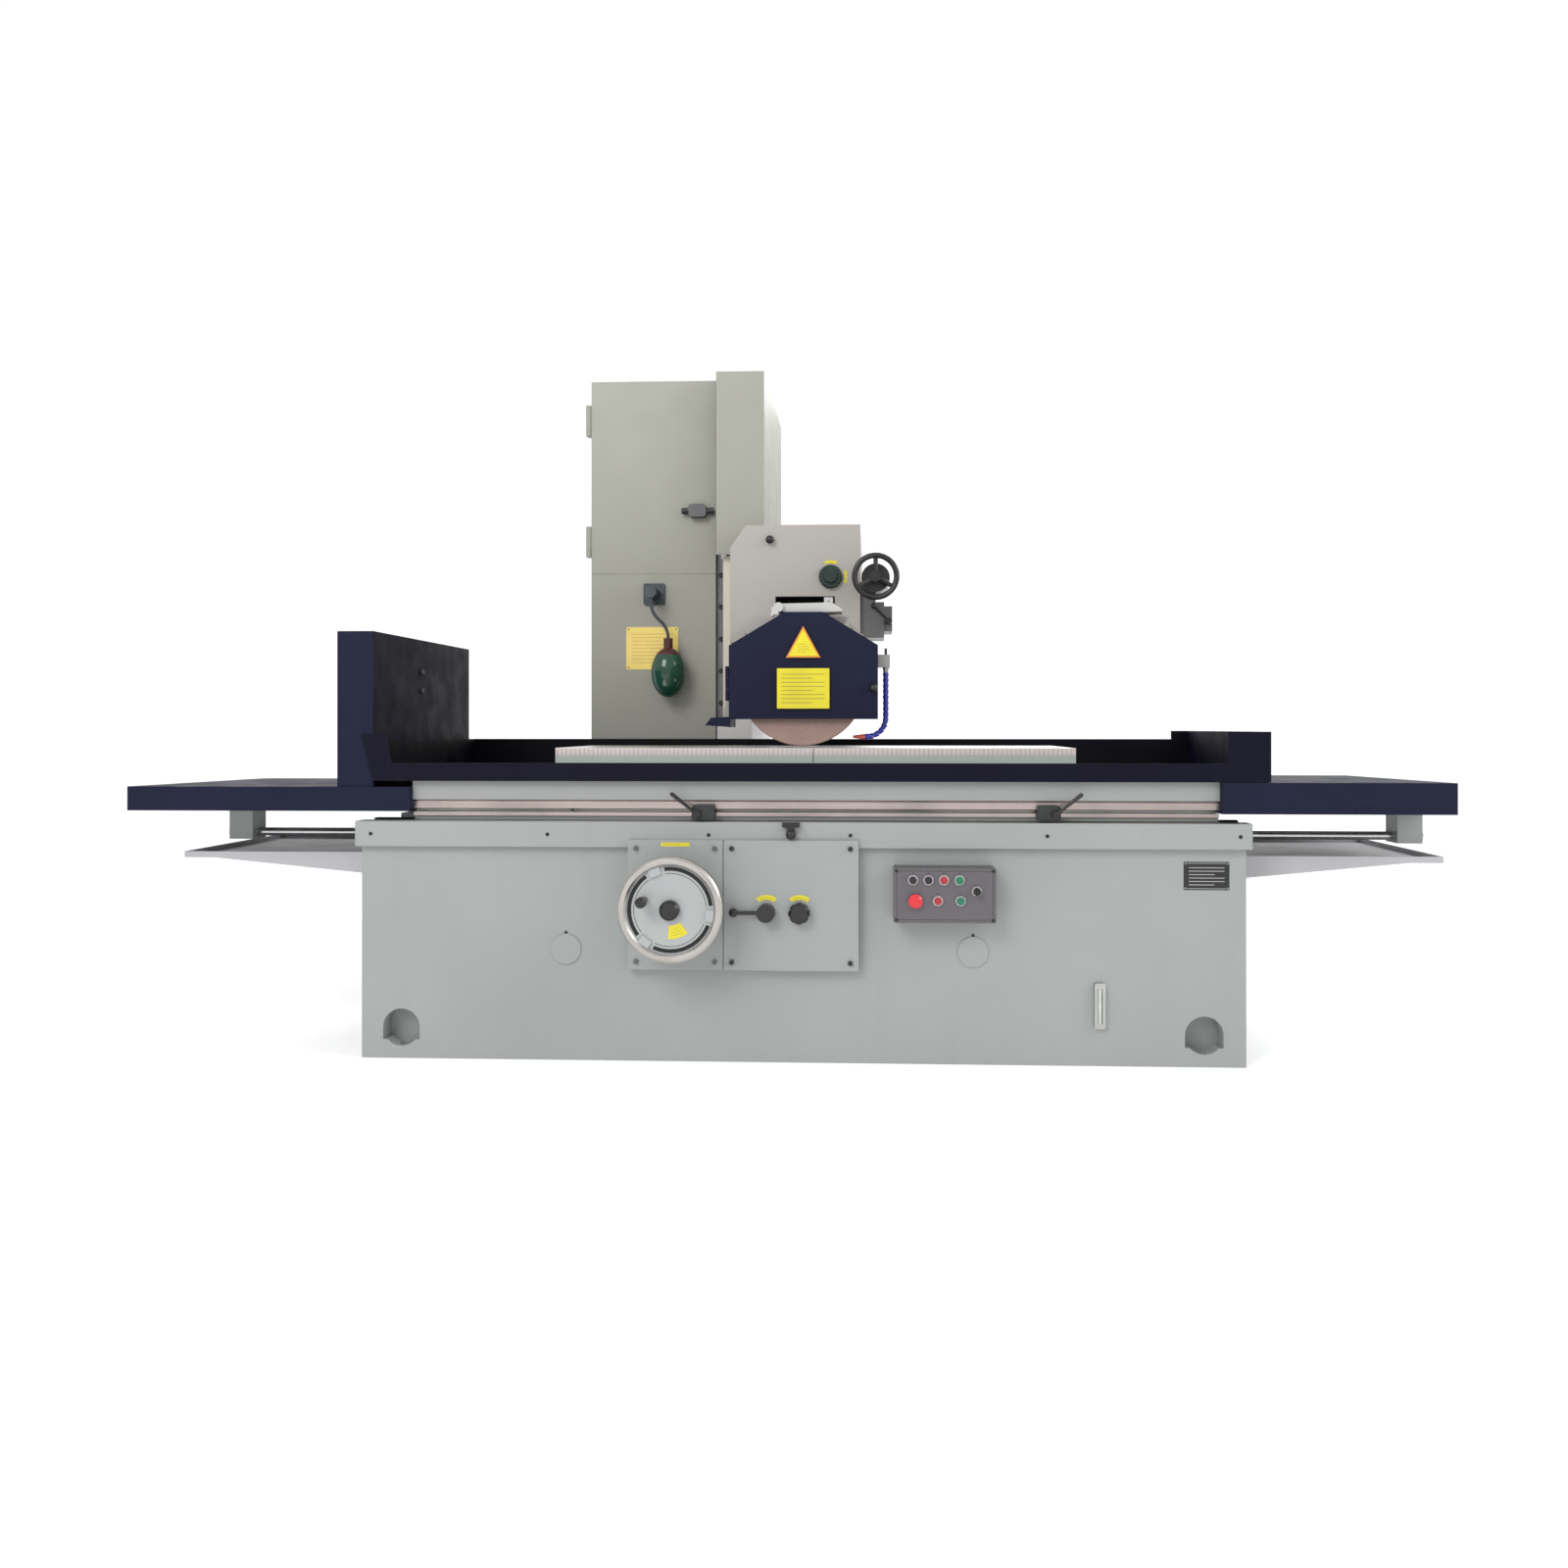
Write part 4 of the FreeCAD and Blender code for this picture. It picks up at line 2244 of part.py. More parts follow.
def make_dog_lever(label, place, side):
    """The dog's clamp lever: a boss on a stem and a tapered arm that leans outwards."""
    back = table_front - dog_gap - dog_thickness - dog_gap
    front = back - 2 * dog_pivot_radius * 0.8
    across, up = dog_pivot(place, side)
    boss = rod(label + "_boss", "Y", (across, up), dog_pivot_radius, (front, back))
    stem = rod(label + "_stem", "Y", (across, up), dog_stem_radius, (back, back + dog_thickness))
    turn = math.radians(dog_lever_angle.value if side > 0 else 180 - dog_lever_angle.value)
    arm = document.addObject("Part::Cone", label + "_arm")
    bind(arm, Radius1=dog_lever_radius * 0.7, Radius2=dog_lever_radius, Height=dog_lever_length)
    arm.Placement.Rotation = FreeCAD.Rotation(
        FreeCAD.Vector(0, 0, 1), FreeCAD.Vector(math.cos(turn), 0, math.sin(turn))
    )
    locate(arm, across, (front + back) / 2, up)
    tip = ball(
        label + "_tip",
        across + side * dog_lever_length * cosine(dog_lever_angle),
        (front + back) / 2,
        up + dog_lever_length * sine(dog_lever_angle),
        dog_lever_radius,
    )
    return sub_part(label, fused(label + "_whole", boss, stem, arm, tip))


# ---------------------------------------------------------------- build, check and write

def make_machine():
    make_bed_casting()
    make_rear_bed()
    make_hydraulic_cylinder()
    make_oil_trays()
    panel_with_bores("feed_plate", -panel_left, -panel_seam, [(handwheel_centre, handwheel_shaft_radius)])
    panel_with_bores(
        "hydraulic_panel",
        -panel_seam + panel_gap,
        panel_right,
        [(lever_centre, control_stem_radius), (knob_centre, control_stem_radius)],
    )
    make_front_screws()
    make_button_box()
    make_push_buttons()
    make_emergency_stop()
    make_selector_switch()
    make_oil_gauge()
    make_core_hole_covers()
    make_feed_handwheel()
    make_handwheel_crank()
    make_control_lever()
    make_control_knob()
    make_reversing_lever()
    make_column_casting()
    make_guide_rails()
    make_cabinet_door()
    make_door_latch()
    make_lamp_arm()
    make_lamp_shade()
    make_slide_casting()
    make_gib_keepers()
    make_upper_way_cover()
    make_lower_way_cover()
    make_elevating_screw()
    make_crossfeed_dial()
    make_pull_knob()
    make_crossfeed_gearbox()
    make_cross_handwheel()
    make_crossfeed_lever()
    make_wheelhead_housing()
    make_spindle_motor()
    make_spindle()
    make_grinding_wheel()
    make_guard_shell()
    make_guard_door()
    make_dresser()
    make_coolant_hose()
    make_coolant_valve()
    make_table_casting()
    make_way_covers()
    make_rod_brackets()
    make_piston_rod()
    make_splash_trough()
    make_end_splash_guard()
    make_chucks()
    for label, place, side in (("left_dog", -left_dog_place, -1), ("right_dog", right_dog_place, 1)):
        make_dog(label, place, side)
        make_dog_lever(label + "_lever", place, side)


def check_document():
    """Stops the build if any object failed or any sub-part is empty or broken."""
    faults = []
    for item in document.Objects:
        if "Invalid" in item.State or "Error" in item.State:
            faults.append(f"{item.Name}: {item.State}")
    for item in sub_parts:
        if item.Shape.isNull() or not item.Shape.isValid() or not item.Shape.Solids:
            faults.append(f"{item.Label}: shape is empty or not valid")
    if faults:
        raise RuntimeError("; ".join(faults))


def write_parts():
    os.makedirs("parts", exist_ok=True)
    for item in sub_parts:
        item.Shape.exportStep(f"parts/{item.Label}.step")


make_machine()
document.recompute()
check_document()
write_parts()
print(f"{len(sub_parts)} sub-parts written")
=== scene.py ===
import json
import math

import bmesh
import bpy
from mathutils import Matrix, Vector


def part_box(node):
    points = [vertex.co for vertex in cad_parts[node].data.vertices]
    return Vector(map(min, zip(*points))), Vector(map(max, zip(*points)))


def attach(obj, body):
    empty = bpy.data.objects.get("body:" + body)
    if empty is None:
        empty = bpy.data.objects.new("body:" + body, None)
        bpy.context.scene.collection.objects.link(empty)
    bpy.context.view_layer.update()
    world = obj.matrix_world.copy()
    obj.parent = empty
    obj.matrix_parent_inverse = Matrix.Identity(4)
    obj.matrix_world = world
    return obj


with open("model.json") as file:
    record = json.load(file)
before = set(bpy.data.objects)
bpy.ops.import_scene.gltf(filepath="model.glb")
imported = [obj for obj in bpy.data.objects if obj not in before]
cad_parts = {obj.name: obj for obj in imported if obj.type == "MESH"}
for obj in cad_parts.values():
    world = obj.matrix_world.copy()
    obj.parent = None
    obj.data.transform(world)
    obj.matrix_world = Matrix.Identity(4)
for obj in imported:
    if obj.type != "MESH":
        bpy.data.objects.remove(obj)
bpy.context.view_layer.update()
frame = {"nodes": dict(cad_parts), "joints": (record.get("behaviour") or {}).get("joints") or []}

scene = bpy.context.scene
nodes = frame["nodes"]

# ------------------------------------------------------------------ places read from the frame

bed_low, bed_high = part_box("bed_casting")
slide_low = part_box("slide_casting")[0]
column_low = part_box("column_casting")[0]
table_low, table_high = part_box("table_casting")
guard_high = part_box("guard_door")[1]
panel_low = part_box("hydraulic_panel")[0]
feed_low, feed_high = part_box("feed_plate")
button_box_low, button_box_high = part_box("button_box")
shade_low, shade_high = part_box("lamp_shade")
door_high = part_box("cabinet_door")[1]
tall_guard_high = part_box("end_splash_guard")[1]
keeper_low, keeper_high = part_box("gib_keepers")

MM = 0.001
bed_face = button_box_high.y
flange_face = bed_low.y
dial_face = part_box("handwheel_crank")[1].y - 10 * MM
guard_sheet_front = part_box("guard_shell")[0].y


def middle(node):
    """The centre of a CAD node's box."""
    low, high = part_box(node)
    return (low + high) / 2


def joint_place(name):
    """The point that a hinge turns about."""
    return Vector(next(joint["pos_m"] for joint in frame["joints"] if joint["name"] == name))


# ------------------------------------------------------------------ camera, stage and light

CAMERA_PLACE = Vector((0.22, -3.86, 0.979))
CAMERA_HEADING = math.radians(2.4)
CAMERA_LENS = 27.0
CAMERA_SHIFT = (-0.025, -0.036)


def make_camera():
    """The camera looks level at the machine, turned a little to the left."""
    data = bpy.data.cameras.new("camera")
    data.lens = CAMERA_LENS
    data.shift_x, data.shift_y = CAMERA_SHIFT
    data.clip_end = 100
    camera = bpy.data.objects.new("camera", data)
    camera.location = CAMERA_PLACE
    camera.rotation_euler = (math.radians(90), 0, CAMERA_HEADING)
    scene.collection.objects.link(camera)
    scene.camera = camera


def make_stage():
    """A pale floor that curves up into a backdrop far behind the machine."""
    half_width, front, back, height, sweep = 30.0, -20.0, 9.0, 16.0, 4.0
    profile = [(front, 0.0)]
    for step in range(13):
        angle = math.radians(90 * step / 12)
        profile.append((back - sweep + sweep * math.sin(angle), sweep - sweep * math.cos(angle)))
    profile.append((back, height))
    mesh = bpy.data.meshes.new("floor")
    vertices = [(x, y, z) for y, z in profile for x in (-half_width, half_width)]
    faces = [(2 * i, 2 * i + 1, 2 * i + 3, 2 * i + 2) for i in range(len(profile) - 1)]
    mesh.from_pydata(vertices, [], faces)
    for face in mesh.polygons:
        face.use_smooth = True
    floor = bpy.data.objects.new("floor", mesh)
    scene.collection.objects.link(floor)
    material = bpy.data.materials.new("floor")
    material.use_nodes = True
    shader = material.node_tree.nodes["Principled BSDF"]
    shader.inputs["Base Color"].default_value = (0.92, 0.92, 0.92, 1)
    shader.inputs["Roughness"].default_value = 0.85
    shader.inputs["Emission Color"].default_value = (1, 1, 1, 1)
    shader.inputs["Emission Strength"].default_value = 0.14
    mesh.materials.append(material)


def area_light(name, place, target, size, power):
    """A square soft light at place, aimed at target."""
    data = bpy.data.lights.new(name, "AREA")
    data.energy = power
    data.size = size
    light = bpy.data.objects.new(name, data)
    light.location = place
    light.rotation_euler = (Vector(target) - Vector(place)).to_track_quat("-Z", "Y").to_euler()
    scene.collection.objects.link(light)


def make_light():
    """Soft light from all round, with a large key light above the operator's left shoulder."""
    world = bpy.data.worlds.new("studio")
    world.use_nodes = True
    background = world.node_tree.nodes["Background"]
    background.inputs["Color"].default_value = (1, 1, 1, 1)
    background.inputs["Strength"].default_value = 0.85
    scene.world = world
    area_light("key_light", (-3.0, -5.5, 5.0), (0, 0, 1.0), 3.0, 230)
    area_light("side_light", (5.5, -2.0, 3.5), (0, 0, 1.0), 3.0, 120)
    area_light("back_light", (1.0, 5.5, 5.0), (0, 0.5, 1.2), 3.0, 120)
    scene.view_settings.view_transform = "Standard"


# ------------------------------------------------------------------ materials


class Finish:
    """A principled material and short ways to add nodes to it."""

    def __init__(self, name, colour, roughness, metallic=0.0):
        self.material = bpy.data.materials.new(name)
        self.material.use_nodes = True
        self.tree = self.material.node_tree
        self.shader = self.tree.nodes["Principled BSDF"]
        self.colour = (*colour, 1)
        self.set("Base Color", self.colour)
        self.set("Roughness", roughness)
        self.set("Metallic", metallic)
        self.place = self.tree.nodes.new("ShaderNodeTexCoord").outputs["Object"]

    def set(self, socket, value):
        self.shader.inputs[socket].default_value = value

    def link(self, output, target):
        self.tree.links.new(output, target)

    def drive(self, socket, output):
        """A node's output sets one of the shader's sockets."""
        self.link(output, self.shader.inputs[socket])

    def node(self, kind, **inputs):
        made = self.tree.nodes.new(kind)
        for socket, value in inputs.items():
            made.inputs[socket.replace("_", " ")].default_value = value
        return made

    def stretched(self, scale):
        """Object coordinates scaled by a different number along each axis."""
        mapping = self.node("ShaderNodeMapping", Scale=scale)
        self.link(self.place, mapping.inputs["Vector"])
        return mapping.outputs["Vector"]

    def noise(self, scale, detail=4.0, vector=None):
        made = self.node("ShaderNodeTexNoise", Scale=scale, Detail=detail)
        self.link(vector or self.place, made.inputs["Vector"])
        return made.outputs["Fac"]

    def between(self, factor, low, high, low_place=0.3, high_place=0.7):
        """A number from low to high as factor goes from low_place to high_place."""
        places = {"From_Min": low_place, "From_Max": high_place}
        made = self.node("ShaderNodeMapRange", To_Min=low, To_Max=high, **places)
        self.link(factor, made.inputs["Value"])
        return made.outputs["Result"]

    def blend(self, factor, first, second):
        """A colour between two colours. Either may be a value or a node's output."""
        made = self.tree.nodes.new("ShaderNodeMix")
        made.data_type = "RGBA"
        self.link(factor, made.inputs[0])
        for socket, colour in ((made.inputs[6], first), (made.inputs[7], second)):
            if isinstance(colour, bpy.types.NodeSocket):
                self.link(colour, socket)
            else:
                socket.default_value = (*colour[:3], 1)
        return made.outputs[2]

    def shaded(self, amount):
        """The finish's own colour, made lighter or darker by a factor."""
        return tuple(min(part * amount, 1) for part in self.colour[:3])

    def bump(self, height, strength, distance, rounding=0.0):
        """Surface relief from a height, over edges rounded by a small radius."""
        made = self.node("ShaderNodeBump", Strength=strength, Distance=distance)
        self.link(height, made.inputs["Height"])
        if rounding:
            edge = self.node("ShaderNodeBevel", Radius=rounding)
            edge.samples = 4
            self.link(edge.outputs["Normal"], made.inputs["Normal"])
        self.drive("Normal", made.outputs["Normal"])


def machine_paint(name, colour, roughness, mottle=0.05):
    """Sprayed enamel: orange peel, soft cloudiness, faint vertical runs of dust, rounded edges."""
    finish = Finish(name, colour, roughness)
    cloud = finish.between(finish.noise(1.7, 6), 0, 1)
    clouded = finish.blend(cloud, finish.shaded(1 - mottle), finish.shaded(1 + mottle))
    runs = finish.noise(1.0, 5, finish.stretched((14, 14, 1.2)))
    dust = finish.between(runs, 0, 0.35, 0.56, 0.78)
    finish.drive("Base Color", finish.blend(dust, clouded, finish.shaded(1 - 2 * mottle)))
    gloss = finish.between(finish.noise(9, 5), roughness - 0.06, roughness + 0.08)
    finish.drive("Roughness", gloss)
    finish.set("Coat Weight", 0.15)
    finish.set("Coat Roughness", 0.25)
    finish.bump(finish.noise(420, 2), 0.10, 0.4 * MM, 2.5 * MM)
    return finish.material


def sheet_paint(name, colour):
    """Satin paint on folded sheet: smoother than the castings, with a few fine scuffs."""
    finish = Finish(name, colour, 0.5)
    finish.set("Specular IOR Level", 0.12)
    scuffs = finish.between(finish.noise(1.0, 8, finish.stretched((3, 3, 40))), 0, 0.5, 0.62, 0.72)
    cloud = finish.between(finish.noise(2.5, 5), 0, 1)
    clouded = finish.blend(cloud, finish.shaded(0.9), finish.shaded(1.12))
    finish.drive("Base Color", finish.blend(scuffs, clouded, finish.shaded(1.25)))
    finish.drive("Roughness", finish.between(finish.noise(12, 6), 0.42, 0.60))
    finish.bump(finish.noise(500, 2), 0.06, 0.3 * MM, 1.5 * MM)
    return finish.material


def worked_steel(name, colour, roughness, stretch, rounding=1.0 * MM, tarnish=0.12):
    """Machined steel with cutting marks, stretched the way the tool went, and slight tarnish."""
    finish = Finish(name, colour, roughness, 1.0)
    marks = finish.noise(1.0, 3, finish.stretched(stretch))
    stain = finish.between(finish.noise(6, 6), 0, 1, 0.45, 0.75)
    lined = finish.blend(marks, finish.shaded(1 - tarnish), finish.shaded(1 + tarnish / 2))
    finish.drive("Base Color", finish.blend(stain, lined, finish.shaded(1 - 2 * tarnish)))
    finish.drive("Roughness", finish.between(marks, roughness - 0.08, roughness + 0.12))
    finish.bump(marks, 0.12, 0.15 * MM, rounding)
    return finish.material


def moulded(name, colour, roughness, grain=300):
    """Moulded plastic or bakelite, with a fine skin texture and a little handling shine."""
    finish = Finish(name, colour, roughness)
    worn = finish.between(finish.noise(25, 4), 0, 1)
    finish.drive("Base Color", finish.blend(worn, finish.shaded(0.88), finish.shaded(1.15)))
    gloss = finish.between(finish.noise(40, 4), max(roughness - 0.08, 0.05), roughness + 0.1)
    finish.drive("Roughness", gloss)
    finish.bump(finish.noise(grain, 2), 0.05, 0.2 * MM)
    return finish.material


def bonded_abrasive(name, colour):
    """Coarse grains in a paler bond, pitted all over."""
    finish = Finish(name, colour, 0.9)
    grains = finish.node("ShaderNodeTexVoronoi", Scale=520.0)
    finish.link(finish.place, grains.inputs["Vector"])
    speckle = finish.between(finish.noise(700, 3), 0, 1, 0.35, 0.65)
    cloud = finish.between(finish.noise(14, 5), 0, 1)
    clouded = finish.blend(cloud, finish.shaded(0.85), finish.shaded(1.12))
    finish.drive("Base Color", finish.blend(speckle, clouded, finish.shaded(1.45)))
    finish.bump(grains.outputs["Distance"], 0.5, 0.5 * MM)
    return finish.material


def pole_plate(name, steel, brass, pitch, share):
    """The laminated top of a magnetic chuck: ground steel poles with thin brass strips between them."""
    finish = Finish(name, steel, 0.3, 1.0)
    split = finish.node("ShaderNodeSeparateXYZ")
    finish.link(finish.place, split.inputs["Vector"])
    repeat = finish.node("ShaderNodeMath")
    repeat.operation = "PINGPONG"
    repeat.inputs[1].default_value = pitch / 2
    finish.link(split.outputs["X"], repeat.inputs[0])
    strip = finish.between(repeat.outputs["Value"], 1, 0, share * pitch / 2 * 0.9, share * pitch / 2)
    marks = finish.noise(1.0, 3, finish.stretched((5, 900, 5)))
    ground = finish.blend(marks, finish.shaded(0.86), finish.shaded(1.05))
    finish.drive("Base Color", finish.blend(strip, ground, brass))
    finish.drive("Roughness", finish.between(marks, 0.24, 0.42))
    finish.bump(marks, 0.1, 0.1 * MM, 0.8 * MM)
    return finish.material


def enamel_label(name, colour):
    """Printed enamel on thin sheet."""
    finish = Finish(name, colour, 0.38)
    fade = finish.between(finish.noise(12, 5), 0, 1)
    finish.drive("Base Color", finish.blend(fade, finish.shaded(0.92), finish.shaded(1.06)))
    finish.drive("Roughness", finish.between(finish.noise(60, 4), 0.3, 0.5))
    return finish.material


machine_grey = machine_paint("machine_grey", (0.287, 0.303, 0.297), 0.45)
table_grey = machine_paint("table_grey", (0.285, 0.298, 0.294), 0.45)
column_grey = machine_paint("column_grey", (0.286, 0.287, 0.245), 0.48, 0.03)
slide_grey = machine_paint("slide_grey", (0.360, 0.340, 0.318), 0.45)
cover_grey = machine_paint("cover_grey", (0.580, 0.560, 0.560), 0.45)
tray_grey = machine_paint("tray_grey", (0.400, 0.400, 0.420), 0.45)
gearbox_grey = machine_paint("gearbox_grey", (0.105, 0.108, 0.106), 0.45)
cream_paint = machine_paint("cream_paint", (0.60, 0.55, 0.47), 0.45)
dresser_grey = machine_paint("dresser_grey", (0.44, 0.435, 0.42), 0.4)
chuck_grey = machine_paint("chuck_grey", (0.42, 0.47, 0.44), 0.4)
motor_grey = machine_paint("motor_grey", (0.16, 0.17, 0.18), 0.5)
dial_grey = machine_paint("dial_grey", (0.36, 0.375, 0.375), 0.4, 0.03)
box_face_grey = machine_paint("box_face_grey", (0.098, 0.088, 0.100), 0.35)
dark_blue = sheet_paint("dark_blue", (0.0090, 0.0105, 0.0290))
trough_blue = sheet_paint("trough_blue", (0.0030, 0.0028, 0.0110))
# a near-black copy of the trough's navy, as painted shade on its inner faces
trough_painted_shade = sheet_paint("trough_painted_shade", (0.0020, 0.0018, 0.0045))
# near-black painted shade, for the inside of the cross-feed slot and the gaps on the handwheel's dial
painted_shade_black = moulded("painted_shade_black", (0.006, 0.006, 0.006), 0.7)
cast_steel = worked_steel("cast_steel", (0.16, 0.16, 0.16), 0.5, (60, 60, 60))
latch_steel = worked_steel("latch_steel", (0.11, 0.11, 0.115), 0.45, (60, 60, 60))
rail_steel = worked_steel("rail_steel", (0.49, 0.42, 0.40), 0.28, (2, 300, 300))
bar_steel = worked_steel("bar_steel", (0.60, 0.60, 0.60), 0.22, (2, 220, 220))
rim_steel = worked_steel("rim_steel", (0.50, 0.48, 0.455), 0.34, (18, 260, 18))
turned_steel = worked_steel("turned_steel", (0.62, 0.60, 0.58), 0.28, (18, 260, 18))
way_steel = worked_steel("way_steel", (0.42, 0.42, 0.41), 0.35, (3, 90, 90))
box_steel = worked_steel("box_steel", (0.24, 0.235, 0.24), 0.42, (120, 6, 6))
lamp_steel = worked_steel("lamp_steel", (0.065, 0.075, 0.085), 0.32, (80, 80, 80))
neck_steel = worked_steel("neck_steel", (0.085, 0.090, 0.105), 0.32, (10, 10, 600))
fitting_steel = worked_steel("fitting_steel", (0.36, 0.36, 0.35), 0.4, (90, 90, 90))
gauge_steel = worked_steel("gauge_steel", (0.50, 0.50, 0.48), 0.35, (20, 20, 200))
chuck_top = pole_plate("chuck_top", (0.76, 0.70, 0.685), (0.60, 0.52, 0.48), 14 * MM, 0.22)
bezel_white = moulded("bezel_white", (0.60, 0.60, 0.60), 0.25)
black_plastic = moulded("black_plastic", (0.008, 0.008, 0.008), 0.25)
bakelite = moulded("bakelite", (0.012, 0.010, 0.010), 0.3)
dog_black = moulded("dog_black", (0.016, 0.020, 0.018), 0.5, 120)
lamp_green = moulded("lamp_green", (0.013, 0.062, 0.040), 0.14)
dial_green = moulded("dial_green", (0.010, 0.026, 0.019), 0.22)
collar_brown = moulded("collar_brown", (0.060, 0.012, 0.010), 0.3)
red_plastic = moulded("red_plastic", (0.34, 0.020, 0.028), 0.3)
stop_red = moulded("stop_red", (0.62, 0.022, 0.030), 0.22)
green_plastic = moulded("green_plastic", (0.008, 0.16, 0.08), 0.3)
hose_blue = moulded("hose_blue", (0.018, 0.022, 0.30), 0.3)
nozzle_red = moulded("nozzle_red", (0.50, 0.070, 0.030), 0.35)
gauge_glass = moulded("gauge_glass", (0.50, 0.53, 0.48), 0.08)
lamp_glass = moulded("lamp_glass", (0.80, 0.79, 0.73), 0.1)
abrasive = bonded_abrasive("abrasive", (0.245, 0.170, 0.145))
label_yellow = enamel_label("label_yellow", (0.66, 0.57, 0.018))
label_gold = enamel_label("label_gold", (0.86, 0.66, 0.17))
label_orange = enamel_label("label_orange", (0.62, 0.22, 0.030))
label_black = enamel_label("label_black", (0.010, 0.010, 0.012))
label_print = enamel_label("label_print", (0.36, 0.30, 0.03))
gold_print = enamel_label("gold_print", (0.62, 0.42, 0.12))
plate_print = enamel_label("plate_print", (0.36, 0.36, 0.36))

# ------------------------------------------------------------------ paint on the CAD nodes


def coat(node, material, *areas):
    """Gives a CAD node a material, and others to the faces whose centre and normal pass a test."""
    mesh = nodes[node].data
    mesh.materials.clear()
    mesh.materials.append(material)
    for place, (other, test) in enumerate(areas, start=1):
        mesh.materials.append(other)
        for face in mesh.polygons:
            if test(face.center, face.normal):
                face.material_index = place


def distance_on_front(point, x, z):
    """How far a point is from a place on the front, seen along Y."""
    return math.hypot(point.x - x, point.z - z)


def coat_bed():
    ways_half_depth, ways_half_length, ways_depth = 0.41, 1.29, 0.14

    def on_ways(centre, normal):
        inside = abs(centre.y) < ways_half_depth and abs(centre.x) < ways_half_length
        return inside and centre.z > bed_high.z - ways_depth and normal.z > 0.3

    coat("bed_casting", machine_grey, (way_steel, on_ways))
    for node in ("rear_bed", "feed_plate", "hydraulic_panel", "core_hole_covers", "rod_brackets"):
        coat(node, machine_grey)
    coat("oil_trays", tray_grey)
    coat("hydraulic_cylinder", cast_steel)
    coat("front_screws", black_plastic, (cast_steel, lambda c, n: c.x < panel_low.x))
    bezels = [middle(node) for node in BUTTONS + ["emergency_stop", "selector_switch"]]
    face = button_box_low.y + 4.5 * MM

    def on_bezel(centre, normal):
        return centre.y < face and any(distance_on_front(centre, b.x, b.z) < 14 * MM for b in bezels)

    coat("button_box", box_steel,
         (box_face_grey, lambda c, n: c.y < face and n.y < -0.9),
         (bezel_white, on_bezel))
    gauge = middle("oil_gauge")
    coat("oil_gauge", gauge_steel,
         (gauge_glass, lambda c, n: abs(c.x - gauge.x) < 7.5 * MM and abs(c.z - gauge.z) < 48 * MM))


BUTTONS = ["left_start_button", "right_start_button", "upper_stop_button", "upper_run_button",
           "lower_stop_button", "lower_run_button"]


def coat_controls():
    for node in ("left_start_button", "right_start_button", "selector_switch", "pull_knob"):
        coat(node, black_plastic)
    for node in ("upper_stop_button", "lower_stop_button"):
        coat(node, red_plastic)
    for node in ("upper_run_button", "lower_run_button"):
        coat(node, green_plastic)
    coat("emergency_stop", stop_red)
    for node in ("handwheel_crank", "control_lever", "control_knob", "reversing_lever", "cross_handwheel",
                 "crossfeed_lever", "left_dog_lever", "right_dog_lever", "coolant_valve"):
        coat(node, bakelite)
    for node in ("left_dog", "right_dog"):
        coat(node, dog_black)
    wheel = middle("feed_handwheel")
    rim_inner = 0.124
    knob_radius = 31 * MM
    coat("feed_handwheel", rim_steel,
         (dial_grey, lambda c, n: distance_on_front(c, wheel.x, wheel.z) < rim_inner),
         (black_plastic, lambda c, n: distance_on_front(c, wheel.x, wheel.z) < knob_radius
          and c.y < dial_face - 0.2 * MM))
    coat("crossfeed_dial", dial_green)


def coat_column():
    for node in ("column_casting", "cabinet_door", "upper_way_cover"):
        coat(node, column_grey)
    coat("guide_rails", way_steel)
    coat("elevating_screw", bar_steel)
    coat("gib_keepers", cast_steel)
    coat("lower_way_cover", cover_grey)
    coat("door_latch", latch_steel, (black_plastic, lambda c, n: abs(c.x - middle("door_latch").x) > 30 * MM))
    base_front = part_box("lamp_arm")[1].y - 14 * MM
    coat("lamp_arm", neck_steel, (lamp_steel, lambda c, n: c.y > base_front))
    collar_low = shade_high.z - 62 * MM
    coat("lamp_shade", lamp_green, (collar_brown, lambda c, n: c.z > collar_low))


def coat_slide():
    slot_low, slot_high, slot_half_width = 1.405, 1.452, 0.135
    carriage_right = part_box("upper_way_cover")[0].x + 0.064

    def in_slot(centre, normal):
        deep = slide_low.y + 2 * MM < centre.y < slide_low.y + 0.14
        return deep and slot_low < centre.z < slot_high and abs(centre.x) < slot_half_width

    # the slot's inner faces get near-black painted shade
    coat("slide_casting", slide_grey,
         (cream_paint, lambda c, n: c.x < carriage_right and n.y < -0.5),
         (painted_shade_black, in_slot))
    coat("crossfeed_gearbox", gearbox_grey, (bakelite, lambda c, n: c.z > 1.44))


def coat_wheelhead():
    sheet_front = guard_sheet_front - 5 * MM
    coat("wheelhead_housing", slide_grey)
    coat("guard_shell", dark_blue)
    knob_left = guard_high.x - 40 * MM
    coat("guard_door", dark_blue,
         (black_plastic, lambda c, n: c.y < sheet_front and c.x > knob_left))
    coat("dresser", dresser_grey)
    hose_low, hose_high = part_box("coolant_hose")
    fitting_height, nozzle_length = 0.056, 0.040
    coat("coolant_hose", hose_blue,
         (fitting_steel, lambda c, n: c.z > hose_high.z - fitting_height),
         (nozzle_red, lambda c, n: c.x < hose_low.x + nozzle_length))
    coat("spindle_motor", motor_grey)
    coat("spindle", turned_steel)
    coat("grinding_wheel", abrasive)


